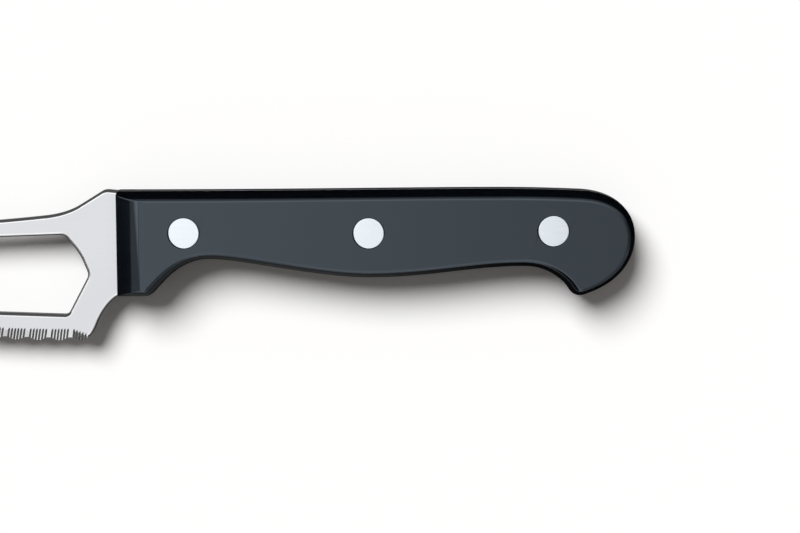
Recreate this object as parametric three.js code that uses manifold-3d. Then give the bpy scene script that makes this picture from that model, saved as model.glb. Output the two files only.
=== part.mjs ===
// Soft cheese knife: windowed, serrated blade with a full tang, two handle scales and three cutler's rivets.
// Millimetres. While it is drawn, the knife has X = 0 at the front of the scales and +X towards the butt,
// Y = 0 on the line of the front rivets and +Y towards the spine, and Z = 0 in the middle of the blade.
// It lies on its side: at the end it is moved to stand on Z = 0, centred in X and Y.
import * as THREE from 'three';
import { mergeVertices } from 'three/addons/utils/BufferGeometryUtils.js';
import Module from 'manifold-3d';

const wasm = await Module();
wasm.setup();

// Overall sizes
const HANDLE_LENGTH = 108.95;
const BLADE_LENGTH = 140; // front of the scales to where the upper prong's point is rounded
const BLADE_THICKNESS = 2.5;
const SCALE_THICKNESS = 5.2;

// Handle outline: heights from the rivet line, places from the front of the scales or from the butt
const TOP_HEIGHT = 8.37; // upper edge at the front
const CREST_RISE = 0.53; // how far the upper edge climbs to its crest
const CREST_FROM_BUTT = 28.5;
const SHOULDER_FROM_BUTT = 11.5; // where the upper edge turns into the butt
const SHOULDER_DROP = 0.37; // below the crest
const BUTT_DROP = 1.15; // furthest point of the butt, below the rivet line
const BEAK_FROM_BUTT = 12.7; // downward hook that stops the little finger
const BEAK_DEPTH = 14.4; // sharp corner of the hook, before it is rounded
const BEAK_ROUNDING = 2.75;
const BEAK_REAR_SIDE = [0.92, 0.39]; // directions of the hook's two sides, away from its corner
const BEAK_FRONT_SIDE = [-0.5, 0.86];
const WAIST_FROM_BUTT = 23.5; // hollow in front of the hook
const WAIST_DEPTH = 7.45;
const PALM_DEPTH = 9.85; // swell under the middle rivet
const CHOIL_FROM_FRONT = 19.3; // hollow for the first finger
const CHOIL_DEPTH = 5.95;
const GUARD_LENGTH = 6.7; // bottom edge of the finger guard
const GUARD_DEPTH = 13.9;
const GUARD_SLOPE = 0.93; // run over rise of the guard's rear side
const GUARD_RISE = 3.5; // height of the straight part of that side
const GUARD_ROUNDING = 1.3;

// Handle section
const CROWN_WIDTH = 1.95; // how far the sides of a scale draw in from the tang to the flat face
const CROWN_STEPS = 6;
const RAMP_LENGTH = 4.95; // slope at the front of each scale
const RAMP_DROP = 1.5; // below the flat face at the very front
const RAMP_SHOULDER_LENGTH = 2.75; // its flatter rear part, up to where the two slopes would meet
const RAMP_SHOULDER_DROP = 0.363;
const RAMP_BEND = 1.1; // how far before and after that point the bend between them reaches

// Rivets
const RIVET_FROM_FRONT = 14.23;
const RIVET_FROM_BUTT = 17.44;
const REAR_RIVET_RISE = 0.46;
const RIVET_HEAD_DIAMETER = 6.4;
const RIVET_HEAD_HEIGHT = 1.8;
const RIVET_BARREL_DIAMETER = 4.4;
const RIVET_PIN_DIAMETER = 2.8;
const RIVET_PIN_LENGTH = 3.6; // from the middle of the blade into the socket
const RIVET_CLEARANCE = 0.1; // round every barrel, head and pin
const RIVET_SIDES = 24;

// Blade: spine
const SPINE_CORNER = 2.7; // front of the scales to the corner where the spine starts to fall
const SPINE_CORNER_RISE = 0.27; // above the handle's upper edge
const SPINE_CORNER_ROUNDING = 0.9;
const SPINE_SLOPE = 0.62; // fall of the straight stretch behind the first window
const SPINE_SLOPE_LENGTH = 5.4;
const SPINE_RUN_START = 15.45; // where the long sweep to the tip begins
const SPINE_RUN_DROP = 5.37; // below the handle's upper edge
const SPINE_RUN_SLOPE = 0.112;
const SPINE_RUN_HANDLE = 30; // reach of the sweep's slope towards the tip
const SPINE_TIP_HANDLE = 45; // reach of the tip's slope towards the handle
const SPINE_TIP_SLOPE = 0.3;

// Blade: cutting edge and heel
const EDGE_DEPTH = 23.7; // deepest point of the belly, below the rivet line
const EDGE_DEEPEST = 12.5; // its place, from the front of the scales
const BELLY_RADIUS = 280;
const WAVE_PITCH = 4.64;
const WAVE_DEPTH = 0.7;
const WAVE_STEPS = 8;
const FIRST_PEAK = 8.3; // place of the first wave's peak, where the heel ends
const HEEL_REACH = 4.72; // middle of the heel's S curve
const HEEL_DROP = 5.75;
const PLAIN_TIP = 19.4; // edge without teeth or waves, behind the tip

// Blade: grinding
const GRIND_HEIGHT = 2.2; // ground band on the upper face
const GRIND_DEPTH = 1;
const GRIND_RUN_OUT = 4.2; // length over which both grinds fade towards the heel
const GRIND_LIFT = 0.7; // share of their depth that has gone at their end
const GROOVES_PER_WAVE = 6; // fine teeth in the ground band, with a wider land where two waves meet
const GROOVE_DEPTH = 0.25;
const GROOVE_LEAN = 0.2; // forward run of the grooves over their fall
const BACK_HEIGHT = 4.2; // plain bevel on the lower face
const BACK_DEPTH = 1.1;
const GRIND_OVERRUN = 1; // how far the wheel runs past the steel
const BACK_STEP = 5;
const EDGE_BREAK = 0.45; // rounding of the spine, windows and heel

// Blade: windows
const WINDOW_COUNT = 3;
const FIRST_WINDOW_END = 6.42; // point of the first window, from the front of the scales
const FIRST_CORNER_TOP = 0.98; // upper corner of that end, below the rivet line
const SOLID_TIP = 34; // steel in front of the last window
const WINDOW_BAR = 5; // steel between the points of two windows
const UPPER_BAR = 3.3; // steel above a window
const LOWER_BAR = 5.6; // steel below a window
const TOP_TAPER = 0.58; // run over rise of the upper sides of a window's pointed ends
const LOW_TAPER = 0.51; // the same of their lower sides
const WINDOW_BOW = 0.8; // how far those upper sides bow outwards
const BOW_ROUNDING = 3;
const WINDOW_ROUNDING = 0.9;

// Blade: forked tip
const LOWER_PRONG_SETBACK = 3;
const PRONG_SPREAD = 6.5; // height between the two points
const PRONG_LENGTH = 13;
const PRONG_TIP_WIDTH = 1.7;
const FORK_RISE = 0.35; // slope of the gap between the prongs
const FORK_GAP = 3.2; // its width at the root

// Sampling
const CURVE_STEPS = 10;
const CUT_MARGIN = 3; // how far cutters stand clear of what they cut
const MERGE_TOLERANCE = 1e-4;
const HALVINGS = 40; // of the search along the spine

// Shapes of the free curves: both handles of a cubic as shares of its span in X and in Y
const TOP_SWELL = [0.45, 0, 0.75, 1];
const CREST_FALL = [0.45, 0, 0.72, 0.5];
const BUTT_UPPER = [0.64, 0.04, 1, 0.44];
const BUTT_LOWER = [0, 0.45, 0.37, 0.82];
const BEAK_INNER = [0.13, 0.44, 0.53, 1.04];
const WAIST_SWELL = [0.33, 0, 0.6, 1];
const PALM_SWELL = [0.33, 0, 0.8, 1];
const CHOIL_TURN = [0.45, 0, 0.8, 0.55];
const HEEL_UPPER = [0.24, 0.06, 0.69, 0.42];
const HEEL_LOWER = [0.23, 0.52, 0.49, 0.93];
const ROUND_END = 4 / 3; // reach of the handles of a curve that rounds an end, over half the end's width
const SIDE_BEFORE = 0.9; // share of the side before a corner that its rounding may use
const SIDE_AFTER = 0.45; // the same of the side after it

const HALF_BLADE = BLADE_THICKNESS / 2;
const FACE = HALF_BLADE + SCALE_THICKNESS;
const REAR_RIVET_X = HANDLE_LENGTH - RIVET_FROM_BUTT;
const MIDDLE_RIVET_X = (RIVET_FROM_FRONT + REAR_RIVET_X) / 2;
const BELLY_CENTRE = new THREE.Vector2(-EDGE_DEEPEST, BELLY_RADIUS - EDGE_DEPTH);

const point = (x, y) => new THREE.Vector2(x, y);

// A closed three.js geometry as a solid that can be cut.
function solidOf(geometry) {
  const bare = geometry.clone();
  bare.deleteAttribute('normal');
  bare.deleteAttribute('uv');
  const merged = mergeVertices(bare, MERGE_TOLERANCE);
  return new wasm.Manifold(new wasm.Mesh({
    numProp: 3,
    vertProperties: new Float32Array(merged.attributes.position.array),
    triVerts: new Uint32Array(merged.index.array),
  }));
}

// A cut solid as a three.js geometry.
function geometryOf(solid) {
  const mesh = solid.getMesh();
  const geometry = new THREE.BufferGeometry();
  geometry.setAttribute('position', new THREE.BufferAttribute(new Float32Array(mesh.vertProperties), 3));
  geometry.setIndex(new THREE.BufferAttribute(new Uint32Array(mesh.triVerts), 1));
  geometry.computeVertexNormals();
  return geometry;
}

// A solid that fills the knife's whole length and height between two X and two Z values.
function slab(lowX, highX, lowZ, highZ) {
  const height = 2 * (BELLY_RADIUS + TOP_HEIGHT);
  const box = new THREE.BoxGeometry(highX - lowX, height, highZ - lowZ);
  box.translate((lowX + highX) / 2, 0, (lowZ + highZ) / 2);
  return solidOf(box);
}

// A closed solid through a row of sections with equally many points, each a list of Vector3.
function loft(sections) {
  const sides = sections[0].length;
  const positions = sections.flat().flatMap((p) => [p.x, p.y, p.z]);
  const index = [];
  for (let i = 0; i + 1 < sections.length; i += 1) {
    for (let j = 0; j < sides; j += 1) {
      const a = i * sides + j;
      const b = i * sides + (j + 1) % sides;
      index.push(a, b, b + sides, a, b + sides, a + sides);
    }
  }
  const last = (sections.length - 1) * sides;
  for (let j = 1; j + 1 < sides; j += 1) {
    index.push(0, j + 1, j, last, last + j, last + j + 1);
  }
  const geometry = new THREE.BufferGeometry();
  geometry.setAttribute('position', new THREE.Float32BufferAttribute(positions, 3));
  geometry.setIndex(index);
  return geometry;
}

// Runs a cubic curve on to a point, its handles given as shares of the span.
function bendTo(path, to, [ax, ay, bx, by]) {
  const from = path.currentPoint;
  const dx = to.x - from.x;
  const dy = to.y - from.y;
  path.bezierCurveTo(
    from.x + ax * dx, from.y + ay * dy,
    from.x + bx * dx, from.y + by * dy,
    to.x, to.y,
  );
}

// Runs towards a corner, rounds it and leaves the path on the way to the next point. The rounding starts and
// ends at a distance from the corner that its two sides have room for.
function roundCorner(path, corner, next, distance) {
  const from = path.currentPoint;
  const reach = Math.min(
    distance,
    SIDE_BEFORE * from.distanceTo(corner),
    SIDE_AFTER * next.distanceTo(corner),
  );
  const start = corner.clone().add(from.clone().sub(corner).setLength(reach));
  const end = corner.clone().add(next.clone().sub(corner).setLength(reach));
  path.lineTo(start.x, start.y);
  path.quadraticCurveTo(corner.x, corner.y, end.x, end.y);
}

// Outline of the tang and the scales, from the front of the upper edge round the butt to the guard's front.
function traceHandle(path) {
  const crest = point(HANDLE_LENGTH - CREST_FROM_BUTT, TOP_HEIGHT + CREST_RISE);
  const beak = point(HANDLE_LENGTH - BEAK_FROM_BUTT, -BEAK_DEPTH);
  const waist = point(HANDLE_LENGTH - WAIST_FROM_BUTT, -WAIST_DEPTH);
  const guardCorner = point(GUARD_LENGTH, -GUARD_DEPTH);
  const guardTop = point(GUARD_LENGTH + GUARD_RISE * GUARD_SLOPE, -GUARD_DEPTH + GUARD_RISE);
  const beakRear = beak.clone().add(point(...BEAK_REAR_SIDE).setLength(BEAK_ROUNDING));
  const beakFront = beak.clone().add(point(...BEAK_FRONT_SIDE).setLength(BEAK_ROUNDING));

  bendTo(path, crest, TOP_SWELL);
  bendTo(path, point(HANDLE_LENGTH - SHOULDER_FROM_BUTT, crest.y - SHOULDER_DROP), CREST_FALL);
  bendTo(path, point(HANDLE_LENGTH, -BUTT_DROP), BUTT_UPPER);
  bendTo(path, beakRear, BUTT_LOWER);
  path.quadraticCurveTo(beak.x, beak.y, beakFront.x, beakFront.y);
  bendTo(path, waist, BEAK_INNER);
  bendTo(path, point(MIDDLE_RIVET_X, -PALM_DEPTH), WAIST_SWELL);
  bendTo(path, point(CHOIL_FROM_FRONT, -CHOIL_DEPTH), PALM_SWELL);
  bendTo(path, guardTop, CHOIL_TURN);
  roundCorner(path, guardCorner, point(0, -GUARD_DEPTH), GUARD_ROUNDING);
  path.lineTo(0, -GUARD_DEPTH);
}

// A place on the belly: distance along it from its deepest point towards the tip, and height above it.
function bellyPoint(along, height = 0) {
  const angle = along / BELLY_RADIUS;
  const radius = BELLY_RADIUS - height;
  return point(
    BELLY_CENTRE.x - radius * Math.sin(angle),
    BELLY_CENTRE.y - radius * Math.cos(angle),
  );
}

// Distance along the belly of the point that lies so far in front of the scales.
const bellyAlong = (fromFront) => BELLY_RADIUS * Math.asin((fromFront - EDGE_DEEPEST) / BELLY_RADIUS);

const FIRST_PEAK_ALONG = bellyAlong(FIRST_PEAK);
const LAST_TOOTH_ALONG = bellyAlong(BLADE_LENGTH - PLAIN_TIP);
const GRIND_START_ALONG = FIRST_PEAK_ALONG - WAVE_PITCH / 2;
const LOWER_TIP = bellyPoint(bellyAlong(BLADE_LENGTH - LOWER_PRONG_SETBACK));
const UPPER_TIP = point(-BLADE_LENGTH, LOWER_TIP.y + PRONG_SPREAD);
const SPINE_START = point(-SPINE_RUN_START, TOP_HEIGHT - SPINE_RUN_DROP);
const SPINE_SWEEP = new THREE.CubicBezierCurve(
  SPINE_START,
  SPINE_START.clone().add(point(-SPINE_RUN_HANDLE, -SPINE_RUN_HANDLE * SPINE_RUN_SLOPE)),
  UPPER_TIP.clone().add(point(SPINE_TIP_HANDLE, -SPINE_TIP_HANDLE * SPINE_TIP_SLOPE)),
  UPPER_TIP,
);

// Height of the spine's long sweep at an X, found by halving.
function spineHeight(x) {
  let low = 0;
  let high = 1;
  for (let i = 0; i < HALVINGS; i += 1) {
    const middle = (low + high) / 2;
    if (SPINE_SWEEP.getPoint(middle).x > x) low = middle;
    else high = middle;
  }
  return SPINE_SWEEP.getPoint(low).y;
}

// Height of the belly at an X.
const bellyHeight = (x) => bellyPoint(bellyAlong(-x)).y;

// The waved cutting edge, from the first peak to the end of the serration.
function traceEdge(path) {
  const waves = Math.floor((LAST_TOOTH_ALONG - FIRST_PEAK_ALONG) / WAVE_PITCH);
  for (let i = 1; i <= waves * WAVE_STEPS; i += 1) {
    const along = FIRST_PEAK_ALONG + i * WAVE_PITCH / WAVE_STEPS;
    const height = WAVE_DEPTH * (1 - Math.cos(2 * Math.PI * i / WAVE_STEPS)) / 2;
    const place = bellyPoint(along, height);
    path.lineTo(place.x, place.y);
  }
}

// The two prongs of the tip, from the lower one's outer side to the upper one's point.
function traceFork(path) {
  const forward = point(-1, FORK_RISE).normalize();
  const up = point(FORK_RISE, 1).normalize();
  const middle = LOWER_TIP.clone().add(UPPER_TIP).multiplyScalar(0.5);
  const root = middle.clone().addScaledVector(forward, -PRONG_LENGTH);
  const lowerRoot = root.clone().addScaledVector(up, -FORK_GAP / 2);
  const upperRoot = root.clone().addScaledVector(up, FORK_GAP / 2);
  const lowerInner = LOWER_TIP.clone().addScaledVector(up, PRONG_TIP_WIDTH);
  const upperInner = UPPER_TIP.clone().addScaledVector(up, -PRONG_TIP_WIDTH);
  const nose = forward.clone().multiplyScalar(ROUND_END * PRONG_TIP_WIDTH / 2);
  const bowl = forward.clone().multiplyScalar(-ROUND_END * FORK_GAP / 2);

  path.lineTo(LOWER_TIP.x, LOWER_TIP.y);
  path.bezierCurveTo(
    LOWER_TIP.x + nose.x, LOWER_TIP.y + nose.y,
    lowerInner.x + nose.x, lowerInner.y + nose.y,
    lowerInner.x, lowerInner.y,
  );
  path.lineTo(lowerRoot.x, lowerRoot.y);
  path.bezierCurveTo(
    lowerRoot.x + bowl.x, lowerRoot.y + bowl.y,
    upperRoot.x + bowl.x, upperRoot.y + bowl.y,
    upperRoot.x, upperRoot.y,
  );
  path.lineTo(upperInner.x, upperInner.y);
  path.bezierCurveTo(
    upperInner.x + nose.x, upperInner.y + nose.y,
    UPPER_TIP.x + nose.x, UPPER_TIP.y + nose.y,
    UPPER_TIP.x, UPPER_TIP.y,
  );
}

// The spine, from the upper prong back to the handle.
function traceSpine(path) {
  const [start, nearHandle, nearTip] = [SPINE_SWEEP.v0, SPINE_SWEEP.v1, SPINE_SWEEP.v2];
  path.bezierCurveTo(nearTip.x, nearTip.y, nearHandle.x, nearHandle.y, start.x, start.y);
  const corner = point(-SPINE_CORNER, TOP_HEIGHT + SPINE_CORNER_RISE);
  const foot = corner.clone().add(point(-SPINE_SLOPE_LENGTH, -SPINE_SLOPE * SPINE_SLOPE_LENGTH));
  const rise = foot.y - start.y - (foot.x - start.x) * SPINE_RUN_SLOPE;
  const meeting = rise / (SPINE_SLOPE - SPINE_RUN_SLOPE);
  path.quadraticCurveTo(foot.x - meeting, foot.y - SPINE_SLOPE * meeting, foot.x, foot.y);
  roundCorner(path, corner, point(0, TOP_HEIGHT), SPINE_CORNER_ROUNDING);
}

// One end of a window: its corners, and a shoulder that bows the upper side outwards.
function windowEnd(x, inward, topHeight) {
  const half = (spineHeight(x) - UPPER_BAR - bellyHeight(x) - LOWER_BAR) / 2;
  const topX = x + inward * TOP_TAPER * half;
  const lowX = x + inward * LOW_TAPER * half;
  const top = point(topX, topHeight ?? spineHeight(topX) - UPPER_BAR);
  const low = point(lowX, bellyHeight(lowX) + LOWER_BAR);
  const apex = point(x, (top.y + low.y) / 2);
  const side = top.clone().sub(apex);
  const outward = point(side.y, -side.x).setLength(-inward * WINDOW_BOW);
  const shoulder = top.clone().add(apex).multiplyScalar(0.5).add(outward);
  return { top, shoulder, apex, low };
}

// One window between two X values: a long hexagon with pointed ends and rounded corners. The height of its
// first upper corner may be given.
function windowPath(rear, front, topHeight) {
  const right = windowEnd(rear, -1, topHeight);
  const left = windowEnd(front, 1);
  const corners = [
    [right.apex, WINDOW_ROUNDING], [right.shoulder, BOW_ROUNDING], [right.top, WINDOW_ROUNDING],
    [left.top, WINDOW_ROUNDING], [left.shoulder, BOW_ROUNDING], [left.apex, WINDOW_ROUNDING],
    [left.low, WINDOW_ROUNDING], [right.low, WINDOW_ROUNDING],
  ];
  const path = new THREE.Path();
  const opening = right.low.clone().add(right.apex).multiplyScalar(0.5);
  path.moveTo(opening.x, opening.y);
  corners.forEach(([corner, rounding], i) => {
    const [next] = corners[(i + 1) % corners.length];
    roundCorner(path, corner, next, rounding);
  });
  path.lineTo(opening.x, opening.y);
  return path;
}

// Every window, evenly shared over the blade from the first window's point to the solid tip.
function windowPaths() {
  const room = BLADE_LENGTH - SOLID_TIP - FIRST_WINDOW_END;
  const length = (room - WINDOW_BAR * (WINDOW_COUNT - 1)) / WINDOW_COUNT;
  return Array.from({ length: WINDOW_COUNT }, (_, i) => {
    const rear = -FIRST_WINDOW_END - i * (length + WINDOW_BAR);
    return windowPath(rear, rear - length, i ? undefined : -FIRST_CORNER_TOP);
  });
}

// Outline of the one steel piece: tang, heel, edge, fork and spine.
function bladeShape() {
  const shape = new THREE.Shape();
  shape.moveTo(0, TOP_HEIGHT);
  traceHandle(shape);
  const heelEnd = bellyPoint(FIRST_PEAK_ALONG);
  bendTo(shape, point(-HEEL_REACH, -GUARD_DEPTH - HEEL_DROP), HEEL_UPPER);
  bendTo(shape, heelEnd, HEEL_LOWER);
  traceEdge(shape);
  traceFork(shape);
  traceSpine(shape);
  shape.lineTo(0, TOP_HEIGHT);
  shape.holes.push(...windowPaths());
  return shape;
}

// Distances along the belly from the start of the grinds to the end of the teeth, in even steps.
function grindSteps(step) {
  const count = Math.ceil((LAST_TOOTH_ALONG - GRIND_START_ALONG) / step);
  return Array.from({ length: count + 1 }, (_, i) => GRIND_START_ALONG + i * step);
}

// A grinding wheel's cut along the edge: a wedge below the upper face that fades towards the heel. It is sunk
// deeper at the steps where the wheel has a ridge.
function grindCut(height, depth, steps, sunkAt, lean) {
  const slope = depth / height;
  const outside = HALF_BLADE + slope * GRIND_OVERRUN;
  const inside = HALF_BLADE - slope * (height + GRIND_OVERRUN);
  const shift = (height / 2 + GRIND_OVERRUN) * lean;
  const sections = steps.map((along, i) => {
    const fade = Math.max(0, 1 - (along - GRIND_START_ALONG) / GRIND_RUN_OUT);
    const level = fade * GRIND_LIFT * depth - sunkAt(i);
    const top = bellyPoint(along - shift, height + GRIND_OVERRUN);
    const low = bellyPoint(along + shift, -GRIND_OVERRUN);
    return [
      new THREE.Vector3(top.x, top.y, outside + level),
      new THREE.Vector3(low.x, low.y, inside + level),
      new THREE.Vector3(low.x, low.y, outside + depth),
    ];
  });
  return solidOf(loft(sections));
}

// The ground band on the upper face, with grooves in every wave and none where two waves meet.
function teethCut() {
  const slots = 2 * (GROOVES_PER_WAVE + 1);
  const groove = (i) => (i % 2 === 0 && i % slots > 0 ? GROOVE_DEPTH : 0);
  return grindCut(GRIND_HEIGHT, GRIND_DEPTH, grindSteps(WAVE_PITCH / slots), groove, GROOVE_LEAN);
}

// The plain bevel on the lower face.
function backCut() {
  return grindCut(BACK_HEIGHT, BACK_DEPTH, grindSteps(BACK_STEP), () => 0, 0).mirror([0, 0, 1]);
}

// A plate of an outline, centred on Z = 0, its edges broken by a chamfer.
function plateOf(shape, edgeBreak) {
  const plate = new THREE.ExtrudeGeometry(shape, {
    depth: BLADE_THICKNESS - 2 * edgeBreak,
    curveSegments: CURVE_STEPS,
    bevelEnabled: edgeBreak > 0,
    bevelThickness: edgeBreak,
    bevelSize: edgeBreak,
    bevelOffset: -edgeBreak,
    bevelSegments: 1,
  });
  plate.translate(0, 0, edgeBreak - HALF_BLADE);
  return solidOf(plate);
}

// The three rivets' places, from the front to the rear.
const RIVETS = [
  { name: 'front', place: point(RIVET_FROM_FRONT, 0) },
  { name: 'middle', place: point(MIDDLE_RIVET_X, 0) },
  { name: 'rear', place: point(REAR_RIVET_X, REAR_RIVET_RISE) },
];

// A body turned round the Z axis from [radius, height] pairs that start and end on the axis.
function turned(profile) {
  const geometry = new THREE.LatheGeometry(profile.map(([r, h]) => point(r, h)), RIVET_SIDES);
  return geometry.rotateX(Math.PI / 2);
}

// The stepped holes for all rivets, through both scales and the tang.
function rivetHoles() {
  const head = RIVET_HEAD_DIAMETER / 2 + RIVET_CLEARANCE;
  const barrel = RIVET_BARREL_DIAMETER / 2 + RIVET_CLEARANCE;
  const seat = FACE - RIVET_HEAD_HEIGHT;
  const end = FACE + CUT_MARGIN;
  const hole = turned([
    [0, -end], [head, -end], [head, -seat], [barrel, -seat],
    [barrel, seat], [head, seat], [head, end], [0, end],
  ]);
  return RIVETS
    .map(({ place }) => solidOf(hole.clone().translate(place.x, place.y, 0)))
    .reduce((all, one) => all.add(one));
}

const HOLES = rivetHoles();

// The blade and its full tang, in one piece of steel. Between the scales its edges are left square.
function bladeGeometry() {
  const shape = bladeShape();
  const broken = plateOf(shape, EDGE_BREAK);
  const tang = plateOf(shape, 0).intersect(slab(0, HANDLE_LENGTH + CUT_MARGIN, -FACE, FACE));
  return geometryOf(broken.add(tang).subtract(teethCut()).subtract(backCut()).subtract(HOLES));
}

// The slope at the front of a scale, as the space that it leaves free.
function rampCut() {
  const shape = new THREE.Shape();
  const width = 2 * (TOP_HEIGHT + GUARD_DEPTH);
  shape.moveTo(-RAMP_LENGTH - CUT_MARGIN, 0);
  shape.lineTo(0, 0);
  shape.lineTo(0, FACE - RAMP_DROP);
  const meeting = point(RAMP_LENGTH - RAMP_SHOULDER_LENGTH, FACE - RAMP_SHOULDER_DROP);
  roundCorner(shape, meeting, point(RAMP_LENGTH, FACE), RAMP_BEND);
  shape.lineTo(RAMP_LENGTH, FACE);
  shape.lineTo(RAMP_LENGTH, FACE + CUT_MARGIN);
  shape.lineTo(-RAMP_LENGTH - CUT_MARGIN, FACE + CUT_MARGIN);
  const cut = new THREE.ExtrudeGeometry(shape, {
    depth: width,
    curveSegments: CURVE_STEPS,
    bevelEnabled: false,
  });
  cut.translate(0, 0, -width / 2).rotateX(Math.PI / 2);
  return solidOf(cut);
}

// The upper handle scale: crowned sides, flat face, ramped front and stepped rivet holes.
function scaleSolid() {
  const shape = new THREE.Shape();
  shape.moveTo(-CUT_MARGIN, TOP_HEIGHT);
  shape.lineTo(0, TOP_HEIGHT);
  traceHandle(shape);
  shape.lineTo(-CUT_MARGIN, -GUARD_DEPTH);
  const body = new THREE.ExtrudeGeometry(shape, {
    depth: BLADE_THICKNESS,
    curveSegments: CURVE_STEPS,
    bevelThickness: SCALE_THICKNESS,
    bevelSize: CROWN_WIDTH,
    bevelOffset: -CROWN_WIDTH,
    bevelSegments: CROWN_STEPS,
  });
  body.translate(0, 0, -HALF_BLADE);
  const reach = HANDLE_LENGTH + CUT_MARGIN;
  return solidOf(body)
    .intersect(slab(0, reach, HALF_BLADE, FACE + CUT_MARGIN))
    .subtract(rampCut())
    .subtract(HOLES);
}

// The solid half of a rivet: head, shoulder and pin, with its head in the upper scale.
function rivetPin() {
  const seat = FACE - RIVET_HEAD_HEIGHT;
  return turned([
    [0, -RIVET_PIN_LENGTH], [RIVET_PIN_DIAMETER / 2, -RIVET_PIN_LENGTH], [RIVET_PIN_DIAMETER / 2, 0],
    [RIVET_BARREL_DIAMETER / 2, 0], [RIVET_BARREL_DIAMETER / 2, seat],
    [RIVET_HEAD_DIAMETER / 2, seat], [RIVET_HEAD_DIAMETER / 2, FACE], [0, FACE],
  ]);
}

// The hollow half of a rivet, with its head in the lower scale and its bore open to the pin.
function rivetSocket() {
  const seat = FACE - RIVET_HEAD_HEIGHT;
  const bore = RIVET_PIN_DIAMETER / 2 + RIVET_CLEARANCE;
  const floor = -RIVET_PIN_LENGTH - RIVET_CLEARANCE;
  return turned([
    [0, -FACE], [RIVET_HEAD_DIAMETER / 2, -FACE], [RIVET_HEAD_DIAMETER / 2, -seat],
    [RIVET_BARREL_DIAMETER / 2, -seat], [RIVET_BARREL_DIAMETER / 2, 0],
    [bore, 0], [bore, floor], [0, floor],
  ]);
}

const satinSteel = () => new THREE.MeshStandardMaterial({ color: 0xdddee2, roughness: 0.3, metalness: 1 });
const blackPlastic = () => new THREE.MeshStandardMaterial({ color: 0x15181b, roughness: 0.22, metalness: 0 });
const rivetMetal = () => new THREE.MeshStandardMaterial({ color: 0xf0f3f5, roughness: 0.2, metalness: 1 });

// A named mesh in a group.
function addPiece(group, name, geometry, material) {
  const mesh = new THREE.Mesh(geometry, material);
  mesh.name = name;
  group.add(mesh);
}

// Every piece, the lower scale being the upper one mirrored about the blade.
function assemble() {
  const knife = new THREE.Group();
  const scale = scaleSolid();
  addPiece(knife, 'blade', bladeGeometry(), satinSteel());
  addPiece(knife, 'upper_scale', geometryOf(scale), blackPlastic());
  addPiece(knife, 'lower_scale', geometryOf(scale.mirror([0, 0, 1])), blackPlastic());
  for (const { name, place } of RIVETS) {
    addPiece(knife, `${name}_rivet_pin`, rivetPin().translate(place.x, place.y, 0), rivetMetal());
    addPiece(knife, `${name}_rivet_socket`, rivetSocket().translate(place.x, place.y, 0), rivetMetal());
  }
  return knife;
}

// Stands the knife on Z = 0, centred in X and Y.
function standOnSide(knife) {
  const box = new THREE.Box3().setFromObject(knife);
  const centre = box.getCenter(new THREE.Vector3());
  knife.position.set(-centre.x, -centre.y, -box.min.z);
  const stand = new THREE.Group();
  stand.add(knife);
  return stand;
}

export default standOnSide(assemble());
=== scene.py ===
"""Studio picture of a soft cheese knife, each piece modelled over its CAD solid.

A piece is drawn on the bench in millimetres, in the knife's own frame: X = 0 at the front of the handle
scales and +X towards the butt, Y = 0 on the line of the two front rivets and +Y towards the spine, Z = 0
in the middle of the blade. It is then scaled to metres and set down where its CAD solid lies.
"""

import logging
import math
from collections.abc import Callable, Sequence
from dataclasses import dataclass
from enum import Enum
from typing import Any

import bmesh
import bpy
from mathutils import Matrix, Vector

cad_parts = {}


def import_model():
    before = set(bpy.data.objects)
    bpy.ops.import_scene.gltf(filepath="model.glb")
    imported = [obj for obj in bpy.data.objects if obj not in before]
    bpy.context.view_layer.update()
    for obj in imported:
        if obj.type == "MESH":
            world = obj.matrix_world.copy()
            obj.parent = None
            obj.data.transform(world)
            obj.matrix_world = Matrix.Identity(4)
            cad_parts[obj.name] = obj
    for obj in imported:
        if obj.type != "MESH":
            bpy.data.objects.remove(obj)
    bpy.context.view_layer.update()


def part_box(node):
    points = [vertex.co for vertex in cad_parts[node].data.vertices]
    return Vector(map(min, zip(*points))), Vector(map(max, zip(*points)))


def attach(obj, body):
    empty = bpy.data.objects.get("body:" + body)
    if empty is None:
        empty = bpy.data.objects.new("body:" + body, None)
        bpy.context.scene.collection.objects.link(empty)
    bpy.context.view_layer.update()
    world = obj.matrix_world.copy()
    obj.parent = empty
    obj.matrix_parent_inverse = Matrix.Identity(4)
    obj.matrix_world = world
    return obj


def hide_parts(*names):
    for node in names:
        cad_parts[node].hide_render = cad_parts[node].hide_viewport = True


LOG = logging.getLogger("cheese_knife")

# A millimetre in metres.
MM = 0.001
# Points nearer than this are one, in millimetres.
SAME_PLACE = 1e-4
# What is nearer than this to an axis or plane lies on it, in millimetres.
ON_PLANE = 1e-5
# Steps that a millimetre is split into, fine enough to tell any two points of a rim apart.
PLACES_A_MM = 5000
# Most of the side before and of the side after a corner that its rounding takes.
ROOM_BEFORE = 0.9
ROOM_AFTER = 0.45
# Least cosine by which a shifted corner is moved out, so that sharp ones don't run away.
LEAST_COSINE = 0.4
# Halvings that find a place on a curve.
HALVINGS = 40
# Weight that keeps large flat faces flat beside their rounded edges.
FLAT_WEIGHT = 80
# Average of a noise.
NOISE_MIDDLE = 0.5

Point = tuple[float, float]
Span = tuple[float, float]
Scale = tuple[float, float, float]
Shares = tuple[float, float, float, float]
Colour = tuple[float, float, float, float]
Outline = list[Point]
Ring = list[Vector]

WHITE: Colour = (1, 1, 1, 1)


class Side(Enum):
    """The two sides of the blade, by the sign of their height over its middle."""

    UPPER = 1
    LOWER = -1


class Slot(Enum):
    """The record's material slots."""

    STEEL = "blade_steel"
    PLASTIC = "handle_plastic"
    RIVET = "rivet_metal"


class Reading(Enum):
    """What a finish reads of a spot on its piece: its place in metres, or its normal."""

    PLACE = "Object"
    NORMAL = "Normal"


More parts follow.
